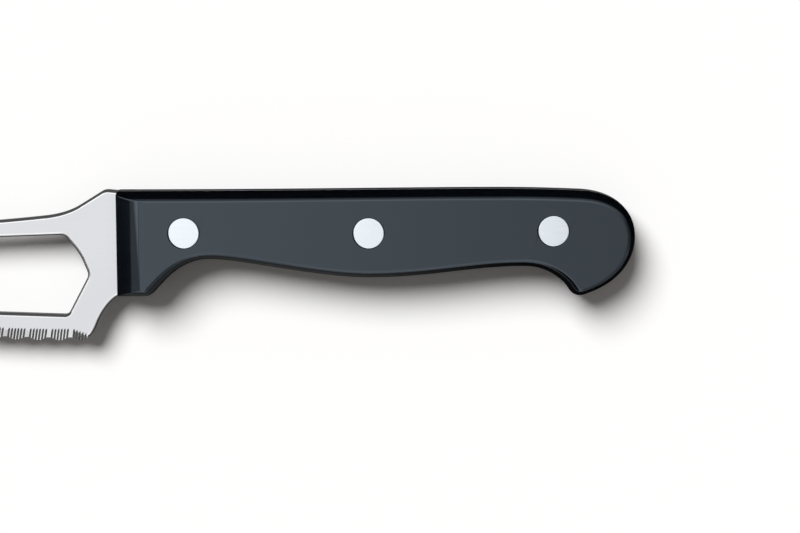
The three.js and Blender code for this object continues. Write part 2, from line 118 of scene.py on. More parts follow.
def on_curve(t: float, start: Vector, first: Vector, second: Vector, end: Vector) -> Vector:
    """Gives a point of a cubic curve.

    Args:
        t: How far along it the point is, from 0 to 1.
        start: First point of the curve.
        first: Handle at its start.
        second: Handle at its end.
        end: Last point.

    Returns:
        The point.
    """
    s = 1 - t
    return s**3 * start + 3 * s * s * t * first + 3 * s * t * t * second + t**3 * end


class Pen:
    """Draws a flat outline as a row of points, in millimetres."""

    def __init__(self, start: Point, steps: int) -> None:
        """Sets the pen down.

        Args:
            start: First point of the outline.
            steps: Points on each curve.
        """
        self.points: Outline = [start]
        self.steps = steps

    @property
    def place(self) -> Vector:
        """Where the pen stands."""
        return Vector(self.points[-1])

    def line(self, to: Point) -> None:
        """Draws a straight line."""
        self.points.append(tuple(to))

    def curve(self, first: Point, second: Point, to: Point) -> None:
        """Draws a cubic curve.

        Args:
            first: Handle at the curve's start.
            second: Handle at its end.
            to: Its last point.
        """
        controls = (self.place, Vector(first), Vector(second), Vector(to))
        for i in range(1, self.steps + 1):
            self.line(on_curve(i / self.steps, *controls))

    def bow(self, handle: Point, to: Point) -> None:
        """Draws a curve with one handle.

        Args:
            handle: Point that both ends of the curve head for.
            to: Its last point.
        """
        start, handle, to = self.place, Vector(handle), Vector(to)
        self.curve(start + (handle - start) * 2 / 3, to + (handle - to) * 2 / 3, to)

    def bend(self, to: Point, shares: Shares) -> None:
        """Draws a cubic curve with its handles given as shares of the span.

        Args:
            to: Last point.
            shares: First handle's shares in X and Y, then the second's.
        """
        start = self.place
        span = Vector(to) - start
        first = (start.x + shares[0] * span.x, start.y + shares[1] * span.y)
        second = (start.x + shares[2] * span.x, start.y + shares[3] * span.y)
        self.curve(first, second, to)

    def turn(self, corner: Point, following: Point, distance: float) -> None:
        """Runs towards a corner and rounds it.

        Args:
            corner: The sharp corner.
            following: Point that the line after the corner heads for.
            distance: How far from the corner the rounding starts and ends, where its sides have room.
        """
        corner, following = Vector(corner), Vector(following)
        before, after = self.place - corner, following - corner
        reach = min(distance, ROOM_BEFORE * before.length, ROOM_AFTER * after.length)
        self.line(corner + before.normalized() * reach)
        self.bow(corner, corner + after.normalized() * reach)

    def closed(self) -> Outline:
        """Gives the outline without repeated points.

        Returns:
            Its points, the last one not repeating the first.
        """
        kept: Outline = []
        for spot in self.points:
            if not kept or (Vector(spot) - Vector(kept[-1])).length > SAME_PLACE:
                kept.append(spot)
        if (Vector(kept[0]) - Vector(kept[-1])).length < SAME_PLACE:
            kept.pop()
        return kept


def shifted(loop: Outline, distances: Sequence[float]) -> Outline:
    """Moves the points of a closed loop to its right, the solid side of every loop drawn here.

    Args:
        loop: Points of the loop.
        distances: How far each point moves.

    Returns:
        The moved points, in the same order.
    """
    moved: Outline = []
    for i, spot in enumerate(loop):
        before = Vector(spot) - Vector(loop[i - 1])
        after = Vector(loop[(i + 1) % len(loop)]) - Vector(spot)
        side_before = Vector((before.y, -before.x)).normalized()
        side_after = Vector((after.y, -after.x)).normalized()
        side = (side_before + side_after).normalized()
        cosine = max(side.dot(side_after), LEAST_COSINE)
        moved.append(tuple(Vector(spot) + side * distances[i] / cosine))
    return moved


def clear_bench() -> None:
    """Leaves edit mode and deselects everything."""
    if bpy.context.object and bpy.context.object.mode != "OBJECT":
        end_edit()
    bpy.ops.object.select_all(action="DESELECT")


def pick(*objects: bpy.types.Object) -> None:
    """Selects objects alone.

    Args:
        *objects: The objects, the first one to be active.
    """
    clear_bench()
    for obj in objects:
        obj.select_set(True)
    bpy.context.view_layer.objects.active = objects[0]


def start_edit() -> None:
    """Enters edit mode on the active object, with all of it selected."""
    bpy.ops.object.mode_set(mode="EDIT")
    bpy.ops.mesh.select_all(action="SELECT")


def end_edit() -> None:
    """Leaves edit mode."""
    bpy.ops.object.mode_set(mode="OBJECT")


def close_edit() -> None:
    """Turns all faces of the mesh outwards and leaves edit mode."""
    bpy.ops.mesh.select_all(action="SELECT")
    bpy.ops.mesh.normals_make_consistent(inside=False)
    end_edit()


class Workpiece:
    """One mesh on the bench, in millimetres, shaped by edit-mode operators."""

    def __init__(self, name: str) -> None:
        """Takes the active object as a new workpiece.

        Args:
            name: Name of the piece.
        """
        self.obj = bpy.context.object
        self.obj.name = name
        self.obj.data.name = name
        self.rim: Ring = []

    @classmethod
    def from_loops(cls, name: str, loops: Sequence[Ring]) -> "Workpiece":
        """Lays out closed loops of edges as the start of a solid.

        Args:
            name: Name of the piece.
            loops: Points of each loop.

        Returns:
            The workpiece, in edit mode with every edge selected.
        """
        parts: list[bpy.types.Object] = []
        for loop in loops:
            clear_bench()
            bpy.ops.mesh.primitive_circle_add(vertices=len(loop), radius=1, fill_type="NOTHING")
            part = bpy.context.object
            for vertex, spot in zip(part.data.vertices, loop):
                vertex.co = spot
            parts.append(part)
        pick(*parts)
        if len(parts) > 1:
            bpy.ops.object.join()
        piece = cls(name)
        piece.rim = [spot for loop in loops for spot in loop]
        start_edit()
        bpy.ops.mesh.select_mode(type="EDGE")
        return piece

    @classmethod
    def from_strip(
        cls, name: str, columns: Sequence[tuple[Vector, Vector]], lift: float
    ) -> "Workpiece":
        """Makes a slab whose underside follows a strip.

        Args:
            name: Name of the piece.
            columns: Both ends of each cross line of the strip.
            lift: Thickness of the slab upwards, or downwards where negative.

        Returns:
            The slab, in object mode.
        """
        clear_bench()
        last = len(columns) - 1
        bpy.ops.mesh.primitive_grid_add(x_subdivisions=last, y_subdivisions=1, size=2)
        piece = cls(name)
        for vertex in piece.obj.data.vertices:
            column = round((vertex.co.x + 1) / 2 * last)
            vertex.co = columns[column][int(vertex.co.y > 0)]
        start_edit()
        bpy.ops.mesh.extrude_region_move(TRANSFORM_OT_translate={"value": (0, 0, lift)})
        close_edit()
        return piece

    @classmethod
    def from_spin(cls, name: str, profile: Sequence[Point], steps: int) -> "Workpiece":
        """Turns a profile round the Z axis.

        Args:
            name: Name of the piece.
            profile: Radius and height of each point, the first and last on the axis.
            steps: Sides of the turned body.

        Returns:
            The turned body, in object mode.
        """
        piece = cls.from_loops(name, [[Vector((radius, 0, height)) for radius, height in profile]])
        bpy.ops.mesh.select_mode(type="VERT")
        piece.select(lambda spot: abs(spot.x) < ON_PLANE)
        bpy.ops.mesh.select_mode(type="EDGE")
        bpy.ops.mesh.delete(type="EDGE")
        bpy.ops.mesh.select_all(action="SELECT")
        bpy.ops.mesh.spin(steps=steps, angle=math.tau, center=(0, 0, 0), axis=(0, 0, 1))
        bpy.ops.mesh.select_all(action="SELECT")
        bpy.ops.mesh.remove_doubles(threshold=SAME_PLACE)
        close_edit()
        return piece

    @staticmethod
    def key(spot: Vector) -> tuple[int, int, int]:
        """Place of a point in whole steps, the same for a point and its extruded copy."""
        return tuple(round(value * PLACES_A_MM) for value in spot)

    def select(self, test: Callable[[Vector], bool]) -> None:
        """Selects the vertices whose place passes a test, and the edges and faces between them.

        Args:
            test: Function of a vertex's place that says whether it is taken.
        """
        bpy.ops.mesh.select_all(action="DESELECT")
        mesh = bmesh.from_edit_mesh(self.obj.data)
        for vertex in mesh.verts:
            vertex.select = test(vertex.co)
        mesh.select_flush(True)
        bmesh.update_edit_mesh(self.obj.data)

    def pull(self, ring: Ring) -> None:
        """Extrudes the open rim and brings it to its next ring.

        Args:
            ring: New place of every rim point, in the rim's order.
        """
        order = {self.key(spot): i for i, spot in enumerate(self.rim)}
        bpy.ops.mesh.extrude_region_move()
        mesh = bmesh.from_edit_mesh(self.obj.data)
        for vertex in mesh.verts:
            if vertex.select:
                vertex.co = ring[order[self.key(vertex.co)]]
        bmesh.update_edit_mesh(self.obj.data)
        self.rim = ring

    def close(self) -> None:
        """Fills the rim and the open end that the first ring left, and leaves edit mode."""
        bpy.ops.mesh.fill(use_beauty=True)
        bpy.ops.mesh.select_all(action="DESELECT")
        bpy.ops.mesh.select_non_manifold(
            use_wire=False, use_multi_face=False, use_non_contiguous=False, use_verts=False
        )
        bpy.ops.mesh.fill(use_beauty=True)
        close_edit()

    def slice_off(self, place: Vector, outward: Vector) -> None:
        """Cuts away what lies beyond a plane and closes the cut.

        Args:
            place: Point of the plane.
            outward: Its normal, towards what is cut away.
        """
        pick(self.obj)
        start_edit()
        bpy.ops.mesh.bisect(
            plane_co=place, plane_no=outward, use_fill=True, clear_outer=True, threshold=ON_PLANE
        )
        close_edit()

    def modify(self, kind: str, **settings: Any) -> None:
        """Adds a modifier and applies it.

        Args:
            kind: Type of the modifier.
            **settings: Its settings.
        """
        pick(self.obj)
        bpy.ops.object.modifier_add(type=kind)
        modifier = self.obj.modifiers[-1]
        for key, value in settings.items():
            setattr(modifier, key, value)
        bpy.ops.object.modifier_apply(modifier=modifier.name)

    def cut(self, cutter: "Workpiece") -> None:
        """Takes a cutter's space out of the piece and scraps the cutter."""
        self.modify("BOOLEAN", operation="DIFFERENCE", solver="EXACT", object=cutter.obj)
        cutter.scrap()

    def scrap(self) -> None:
        """Throws the piece away."""
        mesh = self.obj.data
        pick(self.obj)
        bpy.ops.object.delete()
        bpy.data.meshes.remove(mesh)

    def copy(self, name: str) -> "Workpiece":
        """Makes a copy with its own mesh.

        Args:
            name: Name of the copy.

        Returns:
            The copy.
        """
        pick(self.obj)
        bpy.ops.object.duplicate(linked=False)
        return Workpiece(name)

    def flip(self) -> None:
        """Turns the piece into its mirror image about the middle of the blade."""
        pick(self.obj)
        start_edit()
        bpy.ops.transform.resize(value=(1, 1, -1), center_override=(0, 0, 0))
        close_edit()

    def smooth(self, degrees: float) -> None:
        """Shades the piece smooth, with flat faces kept flat.

        Args:
            degrees: Angle past which an edge stays sharp.
        """
        pick(self.obj)
        bpy.ops.object.shade_smooth_by_angle(angle=math.radians(degrees))
        self.modify("WEIGHTED_NORMAL", mode="FACE_AREA", weight=FLAT_WEIGHT, keep_sharp=True)

    def settle(self, origin: Vector, offset: Point = (0, 0)) -> bpy.types.Object:
        """Scales the piece to metres and sets it down in the frame.

        Args:
            origin: Place of the knife's own origin in the frame.
            offset: Shift of the piece on the bench, in millimetres.

        Returns:
            The finished object, its place in its mesh.
        """
        pick(self.obj)
        self.obj.scale = (MM, MM, MM)
        self.obj.location = origin + Vector((*offset, 0)) * MM
        bpy.ops.object.transform_apply(location=True, rotation=True, scale=True)
        return self.obj


class Value:
    """A number socket of a node tree, on which arithmetic adds Math nodes."""

    def __init__(self, graph: "Graph", socket: bpy.types.NodeSocket) -> None:
        """Wraps a socket of a graph."""
        self.graph = graph
        self.socket = socket

    def math(self, operation: str, *operands: Any) -> "Value":
        """Adds a Math node.

        Args:
            operation: Its operation.
            *operands: Its inputs, numbers or values.

        Returns:
            Its result.
        """
        node = self.graph.node("ShaderNodeMath", {"operation": operation}, dict(enumerate(operands)))
        return Value(self.graph, node.outputs[0])

    def __add__(self, other: Any) -> "Value":
        """Sum."""
        return self.math("ADD", self, other)

    __radd__ = __add__

    def __sub__(self, other: Any) -> "Value":
        """Difference."""
        return self.math("SUBTRACT", self, other)

    def __rsub__(self, other: Any) -> "Value":
        """Difference from a number."""
        return self.math("SUBTRACT", other, self)

    def __mul__(self, other: Any) -> "Value":
        """Product."""
        return self.math("MULTIPLY", self, other)

    __rmul__ = __mul__

    def __truediv__(self, other: Any) -> "Value":
        """Quotient."""
        return self.math("DIVIDE", self, other)

    def __rtruediv__(self, other: Any) -> "Value":
        """Quotient of a number."""
        return self.math("DIVIDE", other, self)

    def __pow__(self, other: Any) -> "Value":
        """Power."""
        return self.math("POWER", self, other)

    def __rpow__(self, other: Any) -> "Value":
        """Power of a number."""
        return self.math("POWER", other, self)

    def __abs__(self) -> "Value":
        """Size without sign."""
        return self.math("ABSOLUTE", self)

    def at_least(self, low: Any) -> "Value":
        """The value, or another where that is larger."""
        return self.math("MAXIMUM", self, low)

    def ramp(self, low: float, high: float) -> "Value":
        """Rises softly from 0 to 1 between two numbers, or falls where the first is the larger.

        Args:
            low: Where the result is 0.
            high: Where it is 1.

        Returns:
            The soft step.
        """
        inputs = {"Value": self, "From Min": low, "From Max": high, "To Min": 0.0, "To Max": 1.0}
        if low > high:
            inputs.update({"From Min": high, "From Max": low, "To Min": 1.0, "To Max": 0.0})
        node = self.graph.node("ShaderNodeMapRange", {"interpolation_type": "SMOOTHSTEP"}, inputs)
        return Value(self.graph, node.outputs["Result"])


class Graph:
    """A node tree, to which one method adds any node."""

    def __init__(self, tree: bpy.types.NodeTree) -> None:
        """Takes up a tree."""
        self.tree = tree

    def find(self, kind: str) -> bpy.types.Node:
        """Gives the node of a type that the tree came with."""
        return next(node for node in self.tree.nodes if node.type == kind)

    def node(self, kind: str, settings: dict[str, Any], inputs: dict[Any, Any]) -> bpy.types.Node:
        """Adds one node.

        Args:
            kind: Type of the node.
            settings: Its settings, set first.
            inputs: A number, colour or link for each of its sockets.

        Returns:
            The node.
        """
        node = self.tree.nodes.new(kind)
        for key, value in settings.items():
            setattr(node, key, value)
        for key, value in inputs.items():
            self.feed(node.inputs[key], value)
        return node

    def feed(self, socket: bpy.types.NodeSocket, value: Any) -> None:
        """Links a value to a socket, or sets the socket.

        Args:
            socket: The socket.
            value: A value or another socket to link, or a number or colour to set.
        """
        if isinstance(value, Value):
            value = value.socket
        if isinstance(value, bpy.types.NodeSocket):
            self.tree.links.new(value, socket)
        else:
            socket.default_value = value

    def mix(self, first: Any, second: Any, share: Value) -> bpy.types.NodeSocket:
        """Mixes two colours.

        Args:
            first: Colour where the share is 0.
            second: Colour where it is 1.
            share: How much of the second.

        Returns:
            The mixed colour.
        """
        node = self.node("ShaderNodeMix", {"data_type": "RGBA"}, {0: share, 6: first, 7: second})
        return node.outputs[2]


class Recipe(Graph):
    """The node tree of one material, ending in its Principled shader."""

    def __init__(self, name: str) -> None:
        """Starts a material.

        Args:
            name: Name of the material.
        """
        self.material = bpy.data.materials.new(name)
        self.material.use_nodes = True
        super().__init__(self.material.node_tree)
        self.shader = self.find("BSDF_PRINCIPLED")

    def dress(self, inputs: dict[str, Any]) -> bpy.types.Material:
        """Feeds the shader's sockets.

        Args:
            inputs: A number, colour or link for each socket.

        Returns:
            The finished material.
        """
        for key, value in inputs.items():
            self.feed(self.shader.inputs[key], value)
        return self.material

    def read(self, reading: Reading) -> bpy.types.NodeSocket:
        """Gives a reading of the spot that is shaded."""
        return self.node("ShaderNodeTexCoord", {}, {}).outputs[reading.value]

    def axes(self, vector: bpy.types.NodeSocket) -> tuple[Value, Value, Value]:
        """Splits a vector into its three numbers."""
        node = self.node("ShaderNodeSeparateXYZ", {}, {0: vector})
        return tuple(Value(self, node.outputs[i]) for i in range(3))

    def noise(self, vector: bpy.types.NodeSocket, scale: Scale, detail: float) -> Value:
        """Adds a noise.

        Args:
            vector: Coordinates, in metres.
            scale: Features a metre along each axis.
            detail: Finer layers.

        Returns:
            The noise, from 0 to 1 about its middle.
        """
        spread = self.node("ShaderNodeMapping", {}, {"Vector": vector, "Scale": scale})
        inputs = {"Vector": spread.outputs[0], "Scale": 1.0, "Detail": detail}
        return Value(self, self.node("ShaderNodeTexNoise", {}, inputs).outputs[0])

    def bump(self, height: Value, strength: float, distance: float) -> bpy.types.NodeSocket:
        """Turns a height into a normal.

        Args:
            height: Height, from 0 to 1.
            strength: How much of it shows.
            distance: Height of 1, in metres.

        Returns:
            The normal.
        """
        inputs = {"Strength": strength, "Distance": distance, "Height": height}
        return self.node("ShaderNodeBump", {}, inputs).outputs[0]


def grey(shade: float) -> Colour:
    """A grey of a shade from 0 to 1."""
    return (shade, shade, shade, 1)


def dimmed(colour: Colour, share: float) -> Colour:
    """A colour with only a share of its light."""
    return (*(share * channel for channel in colour[:3]), 1)


@dataclass(frozen=True)
class SatinSteel:
    """Satin steel with bright ground lands, painted shade in the flutes and on the sheared edges, a
    painted lighter sheen along the middle of those edges and a painted highlight on the rounded edges.

    A span gives where a mask is empty and where it is full. Those of the grinds, walls and rims are
    heights or depths in millimetres.
    """

    face: Colour = (0.738, 0.748, 0.776, 1)
    # Bright steel of the ground lands, also painted on the rounded edges as a highlight.
    land_and_rim_highlight: Colour = (0.93, 0.93, 0.94, 1)
    # Painted shade in the flutes.
    painted_shade_groove: Colour = (0.2, 0.2, 0.205, 1)
    # Painted shade on the sheared edges, and a painted lighter sheen along their middle.
    painted_shade_wall: Colour = (0.045, 0.045, 0.047, 1)
    painted_wall_sheen: Colour = (0.24, 0.24, 0.245, 1)
    wall_dullness: float = 0.8
    tang_lead: float = 0.0005
    # Share of the painted sheen that is turned back to painted shade on the tang.
    tang_painted_shade: float = 0.9
    roughness: float = 0.3
    grain_roughness: float = 0.1
    cloud_roughness: float = 0.06
    wall_roughness: float = 0.12
    groove_roughness: float = 0.15
    grain_length: float = 0.03
    grain_width: float = 0.0002
    grain_span: Span = (0.3, 0.7)
    grain_tone: float = 0.97
    grain_bump: float = 0.08
    grain_depth: float = 0.00001
    cloud_scale: Scale = (60, 60, 60)
    border_span: Span = (-0.01, 0.02)
    upper_span: Span = (-0.3, -0.1)
    lower_span: Span = (-0.1, -0.3)
    groove_span: Span = (0.03, 0.16)
    wall_span: Span = (0.04, 0.13)
    # Painted shade that reaches over the rounded rim of edges facing the spine.
    spine_shade_span: Span = (0.006, 0.026)
    spine_shade_lean_span: Span = (0.08, 0.2)
    # Sunk depths over which the painted highlight comes in.
    rim_highlight_span: Span = (0.0002, 0.002)
    wall_sheen_span: Span = (0.5, 0.7)

    def material(self, blade: "Blade", origin: Vector) -> bpy.types.Material:
        """Makes the material for a blade.

        Args:
            blade: The blade, for the places of its grinds.
            origin: Place of the knife's own origin in the frame.

        Returns:
            The material.
        """
        recipe = Recipe("satin_steel")
        place = recipe.read(Reading.PLACE)
        x, y, z = recipe.axes(place)
        centre = origin + Vector((*blade.belly_centre, 0)) * MM
        across, down = x - centre.x, y - centre.y
        height = blade.belly_radius - (across * across + down * down) ** 0.5 / MM
        level = (z - origin.z) / MM
        sunk = blade.half - abs(level)

        from_start = across / -MM - blade.grind_start
        fade = (1 - from_start / blade.grind_run_out).at_least(0.0) * blade.grind_lift
        under_top = (1 - fade) * blade.grind_height - height
        under_back = (1 - fade) * blade.back_height - height
        land_level = blade.half - under_top * (blade.grind_depth / blade.grind_height)
        ground = under_top.ramp(*self.border_span) * level.ramp(*self.upper_span)
        back = under_back.ramp(*self.border_span) * level.ramp(*self.lower_span)
        painted_shade_groove = ground * (land_level - level).ramp(*self.groove_span)
        # Edges facing the spine get painted shade over a wider band, their rounded rim too.
        spine_facing_shade = recipe.axes(recipe.read(Reading.NORMAL))[1].ramp(*self.spine_shade_lean_span)
        side = sunk.ramp(*self.wall_span).at_least(sunk.ramp(*self.spine_shade_span) * spine_facing_shade)
        painted_shade_wall = side * (1 - ground) * (1 - back)
        # Painted shade: on the tang the painted sheen of the edges goes dark again.
        tang = x.ramp(origin.x - self.tang_lead, origin.x) * self.tang_painted_shade

        grain_scale = (1 / self.grain_length, 1 / self.grain_width, 1 / self.grain_width)
        grain = recipe.noise(place, grain_scale, detail=3)
        cloud = recipe.noise(place, self.cloud_scale, detail=2)
        dim_face = dimmed(self.face, self.grain_tone)
        face = recipe.mix(dim_face, self.face, grain.ramp(*self.grain_span))
        # Painted shade on the sheared edges, with a painted lighter sheen along their middle.
        painted_edge_shade = recipe.mix(self.painted_shade_wall, self.painted_wall_sheen, sunk.ramp(*self.wall_sheen_span) * (1 - tang))
        # Painted highlight: all that is sunk below the face, the rounded edges most, takes the bright
        # land colour.
        colour = recipe.mix(face, self.land_and_rim_highlight, sunk.ramp(*self.rim_highlight_span))
        # Over it go the painted edge shade, the bright steel of the ground lands and the painted shade
        # in the flutes.
        for layer, mask in ((painted_edge_shade, painted_shade_wall), (self.land_and_rim_highlight, ground), (self.painted_shade_groove, painted_shade_groove)):
            colour = recipe.mix(colour, layer, mask)
        roughness = (
            self.roughness
            + (grain - NOISE_MIDDLE) * self.grain_roughness
            + (cloud - NOISE_MIDDLE) * self.cloud_roughness
            + painted_shade_wall * self.wall_roughness
            + painted_shade_groove * self.groove_roughness
        )
        return recipe.dress({
            "Base Color": colour,
            "Metallic": 1 - painted_shade_wall * self.wall_dullness,
            "Roughness": roughness,
            "Normal": recipe.bump(grain, self.grain_bump, self.grain_depth),
        })


@dataclass(frozen=True)
class BlackPlastic:
    """Polished near-black moulded plastic with a cool sheen, faint pores and hairline scuffs."""

    colour: Colour = (0.0012, 0.0018, 0.003, 1)
    sheen: Colour = (0.71, 0.86, 1.0, 1)
    index: float = 1.78
    roughness: float = 0.17
    mottle_scale: Scale = (90, 90, 90)
    mottle_roughness: float = 0.07
    pore_scale: Scale = (2600, 2600, 2600)
    pore_roughness: float = 0.03
    pore_bump: float = 0.06
    pore_depth: float = 0.00002
    scuff_colour: Colour = (0.006, 0.007, 0.009, 1)
    scuff_scale: Scale = (40, 5200, 900)
    scuff_span: Span = (0.66, 0.78)
    scuff_roughness: float = 0.05

    def material(self) -> bpy.types.Material:
        """Makes the material.

        Returns:
            The material.
        """
        recipe = Recipe("black_plastic")
        place = recipe.read(Reading.PLACE)
        mottle = recipe.noise(place, self.mottle_scale, detail=3)
        pores = recipe.noise(place, self.pore_scale, detail=2)
        scuff = recipe.noise(place, self.scuff_scale, detail=2).ramp(*self.scuff_span)
        roughness = (
            self.roughness
            + (mottle - NOISE_MIDDLE) * self.mottle_roughness
            + (pores - NOISE_MIDDLE) * self.pore_roughness
            + scuff * self.scuff_roughness
        )
        return recipe.dress({
            "Base Color": recipe.mix(self.colour, self.scuff_colour, scuff),
            "Roughness": roughness,
            "IOR": self.index,
            "Specular Tint": self.sheen,
            "Normal": recipe.bump(pores, self.pore_bump, self.pore_depth),
        })


@dataclass(frozen=True)
class RivetMetal:
    """Bright rivet metal, ground flush with lengthwise strokes."""

    colour: Colour = (0.895, 0.952, 1.0, 1)
    roughness: float = 0.3
    stroke_colour: Colour = (0.84, 0.905, 0.97, 1)
    stroke_scale: Scale = (160, 6500, 6500)
    stroke_span: Span = (0.3, 0.62)
    stroke_roughness: float = 0.14
    stroke_bump: float = 0.1
    stroke_depth: float = 0.00001

    def material(self) -> bpy.types.Material:
        """Makes the material.

        Returns:
            The material.
        """
        recipe = Recipe("rivet_metal")
        strokes = recipe.noise(recipe.read(Reading.PLACE), self.stroke_scale, detail=3)
        between = strokes.ramp(*self.stroke_span)
        return recipe.dress({
            "Base Color": recipe.mix(self.stroke_colour, self.colour, between),
            "Metallic": 1.0,
            "Roughness": self.roughness + (strokes - NOISE_MIDDLE) * self.stroke_roughness,
            "Normal": recipe.bump(strokes, self.stroke_bump, self.stroke_depth),
        })


@dataclass(frozen=True)
class PaleFloor:
    """Matt pale floor, almost even."""

    colour: Colour = (0.96, 0.96, 0.96, 1)
    cloud_tone: float = 0.995
    cloud_scale: Scale = (3, 3, 3)
    roughness: float = 0.9

    def material(self) -> bpy.types.Material:
        """Makes the material.

        Returns:
            The material.
        """
        recipe = Recipe("pale_floor")
        cloud = recipe.noise(recipe.read(Reading.PLACE), self.cloud_scale, detail=1)
        return recipe.dress({
            "Base Color": recipe.mix(dimmed(self.colour, self.cloud_tone), self.colour, cloud),
            "Roughness": self.roughness,
            "Specular IOR Level": 0.0,
        })


@dataclass(frozen=True)
class TentCloth:
    """White cloth of the light tent, with brighter and darker fields for the knife to mirror.

    A span gives where a field is empty and where it is full, in shares of the tent's radius. The last
    one counts matt surfaces on the way.
    """

    strength: float = 1.24
    butt: Span = (-0.25, 0.25)
    butt_near: Span = (-0.38, -0.24)
    butt_far: Span = (0.5, 0.25)
    butt_dark: float = 0.62
    butt_end: Span = (0.12, 0.38)
    butt_end_dark: float = 0.33
    beak: Span = (0.08, 0.22)
    beak_near: Span = (-0.3, -0.46)
    beak_rise: Span = (0.25, 0.5)
    beak_low_dark: float = 0.2
    beak_high_dark: float = 0.4
    strip: Span = (0.04, 0.2)
    strip_rise: Span = (0.45, 0.7)
    strip_light: float = 0.45
    behind: Span = (0.3, 0.55)
    behind_turn: float = 0.4
    behind_rise: Span = (0.86, 0.7)
    behind_dark: float = 0.5
    ahead: Span = (-0.262, -0.46)
    ahead_turn: float = 0.2
    ahead_near: Span = (-0.97, -0.87)
    ahead_far: Span = (0.03, -0.05)
    foot: Span = (0.4, 0.2)
    foot_dark: float = 0.5
    first_bounce: Span = (0.6, 0.4)

    def material(self, radius: float) -> bpy.types.Material:
        """Makes the material, which shines only in reflections that no matt surface passes on.

        Args:
            radius: Radius of the tent, in metres.

        Returns:
            The material.
        """
        recipe = Recipe("tent_cloth")
        x, y, z = (axis / radius for axis in recipe.axes(recipe.read(Reading.PLACE)))
        to_butt = x.ramp(*self.butt) * y.ramp(*self.butt_near) * self.butt_dark
        to_butt = to_butt + x.ramp(*self.butt_end) * self.butt_end_dark
        beak_dark = self.beak_low_dark + z.ramp(*self.beak_rise) * self.beak_high_dark
        to_beak = x.ramp(*self.beak) * y.ramp(*self.beak_near) * beak_dark
        roof = self.strength - to_butt * y.ramp(*self.butt_far) - to_beak
        strip = y.ramp(*self.strip) * z.ramp(*self.strip_rise) * self.strip_light
        behind = (y + x * self.behind_turn).ramp(*self.behind) * z.ramp(*self.behind_rise)
        ahead = (x + y * self.ahead_turn).ramp(*self.ahead)
        ahead = ahead * y.ramp(*self.ahead_near) * y.ramp(*self.ahead_far)
        foot = z.ramp(*self.foot) * self.foot_dark
        light = (roof + strip) * (1 - foot) * (1 - behind * self.behind_dark) * (1 - ahead)
        rays = recipe.node("ShaderNodeLightPath", {}, {})
        direct = Value(recipe, rays.outputs["Diffuse Depth"]).ramp(*self.first_bounce)
        glow = recipe.node("ShaderNodeEmission", {}, {"Color": WHITE, "Strength": light * direct})
        recipe.feed(recipe.find("OUTPUT_MATERIAL").inputs["Surface"], glow.outputs[0])
        recipe.tree.nodes.remove(recipe.shader)
        recipe.material.cycles.emission_sampling = "NONE"
        return recipe.material


@dataclass(frozen=True)
class DarkCard:
    """Matt dark card of one shade, or graded to another towards the butt.

    The grade starts and ends so many metres behind the front of the scales.
    """

    name: str
    shade: float
    butt_shade: float | None = None
    grade: Span = (0.04, 0.092)

    def material(self, origin: Vector) -> bpy.types.Material:
        """Makes the material.

        Args:
            origin: Place of the knife's own origin in the frame.

        Returns:
            The material.
        """
        recipe = Recipe(self.name)
        tone = grey(self.shade)
        if self.butt_shade is not None:
            x = recipe.axes(recipe.read(Reading.PLACE))[0]
            to_butt = x.ramp(origin.x + self.grade[0], origin.x + self.grade[1])
            tone = recipe.mix(tone, grey(self.butt_shade), to_butt)
        return recipe.dress({"Base Color": tone, "Roughness": 1.0, "Specular IOR Level": 0.0})


def finish_piece(obj: bpy.types.Object, node: str, material: bpy.types.Material) -> None:
    """Dresses a settled piece and puts it in the place of its CAD solid.

    Args:
        obj: The piece.
        node: CAD node that it stands for.
        material: Its finish.
    """
    obj.data.materials.clear()
    obj.data.materials.append(material)
    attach(obj, "root")
    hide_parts(node)
    triangles = sum(len(face.vertices) - 2 for face in obj.data.polygons)
    LOG.info("%s: %d triangles", obj.name, triangles)


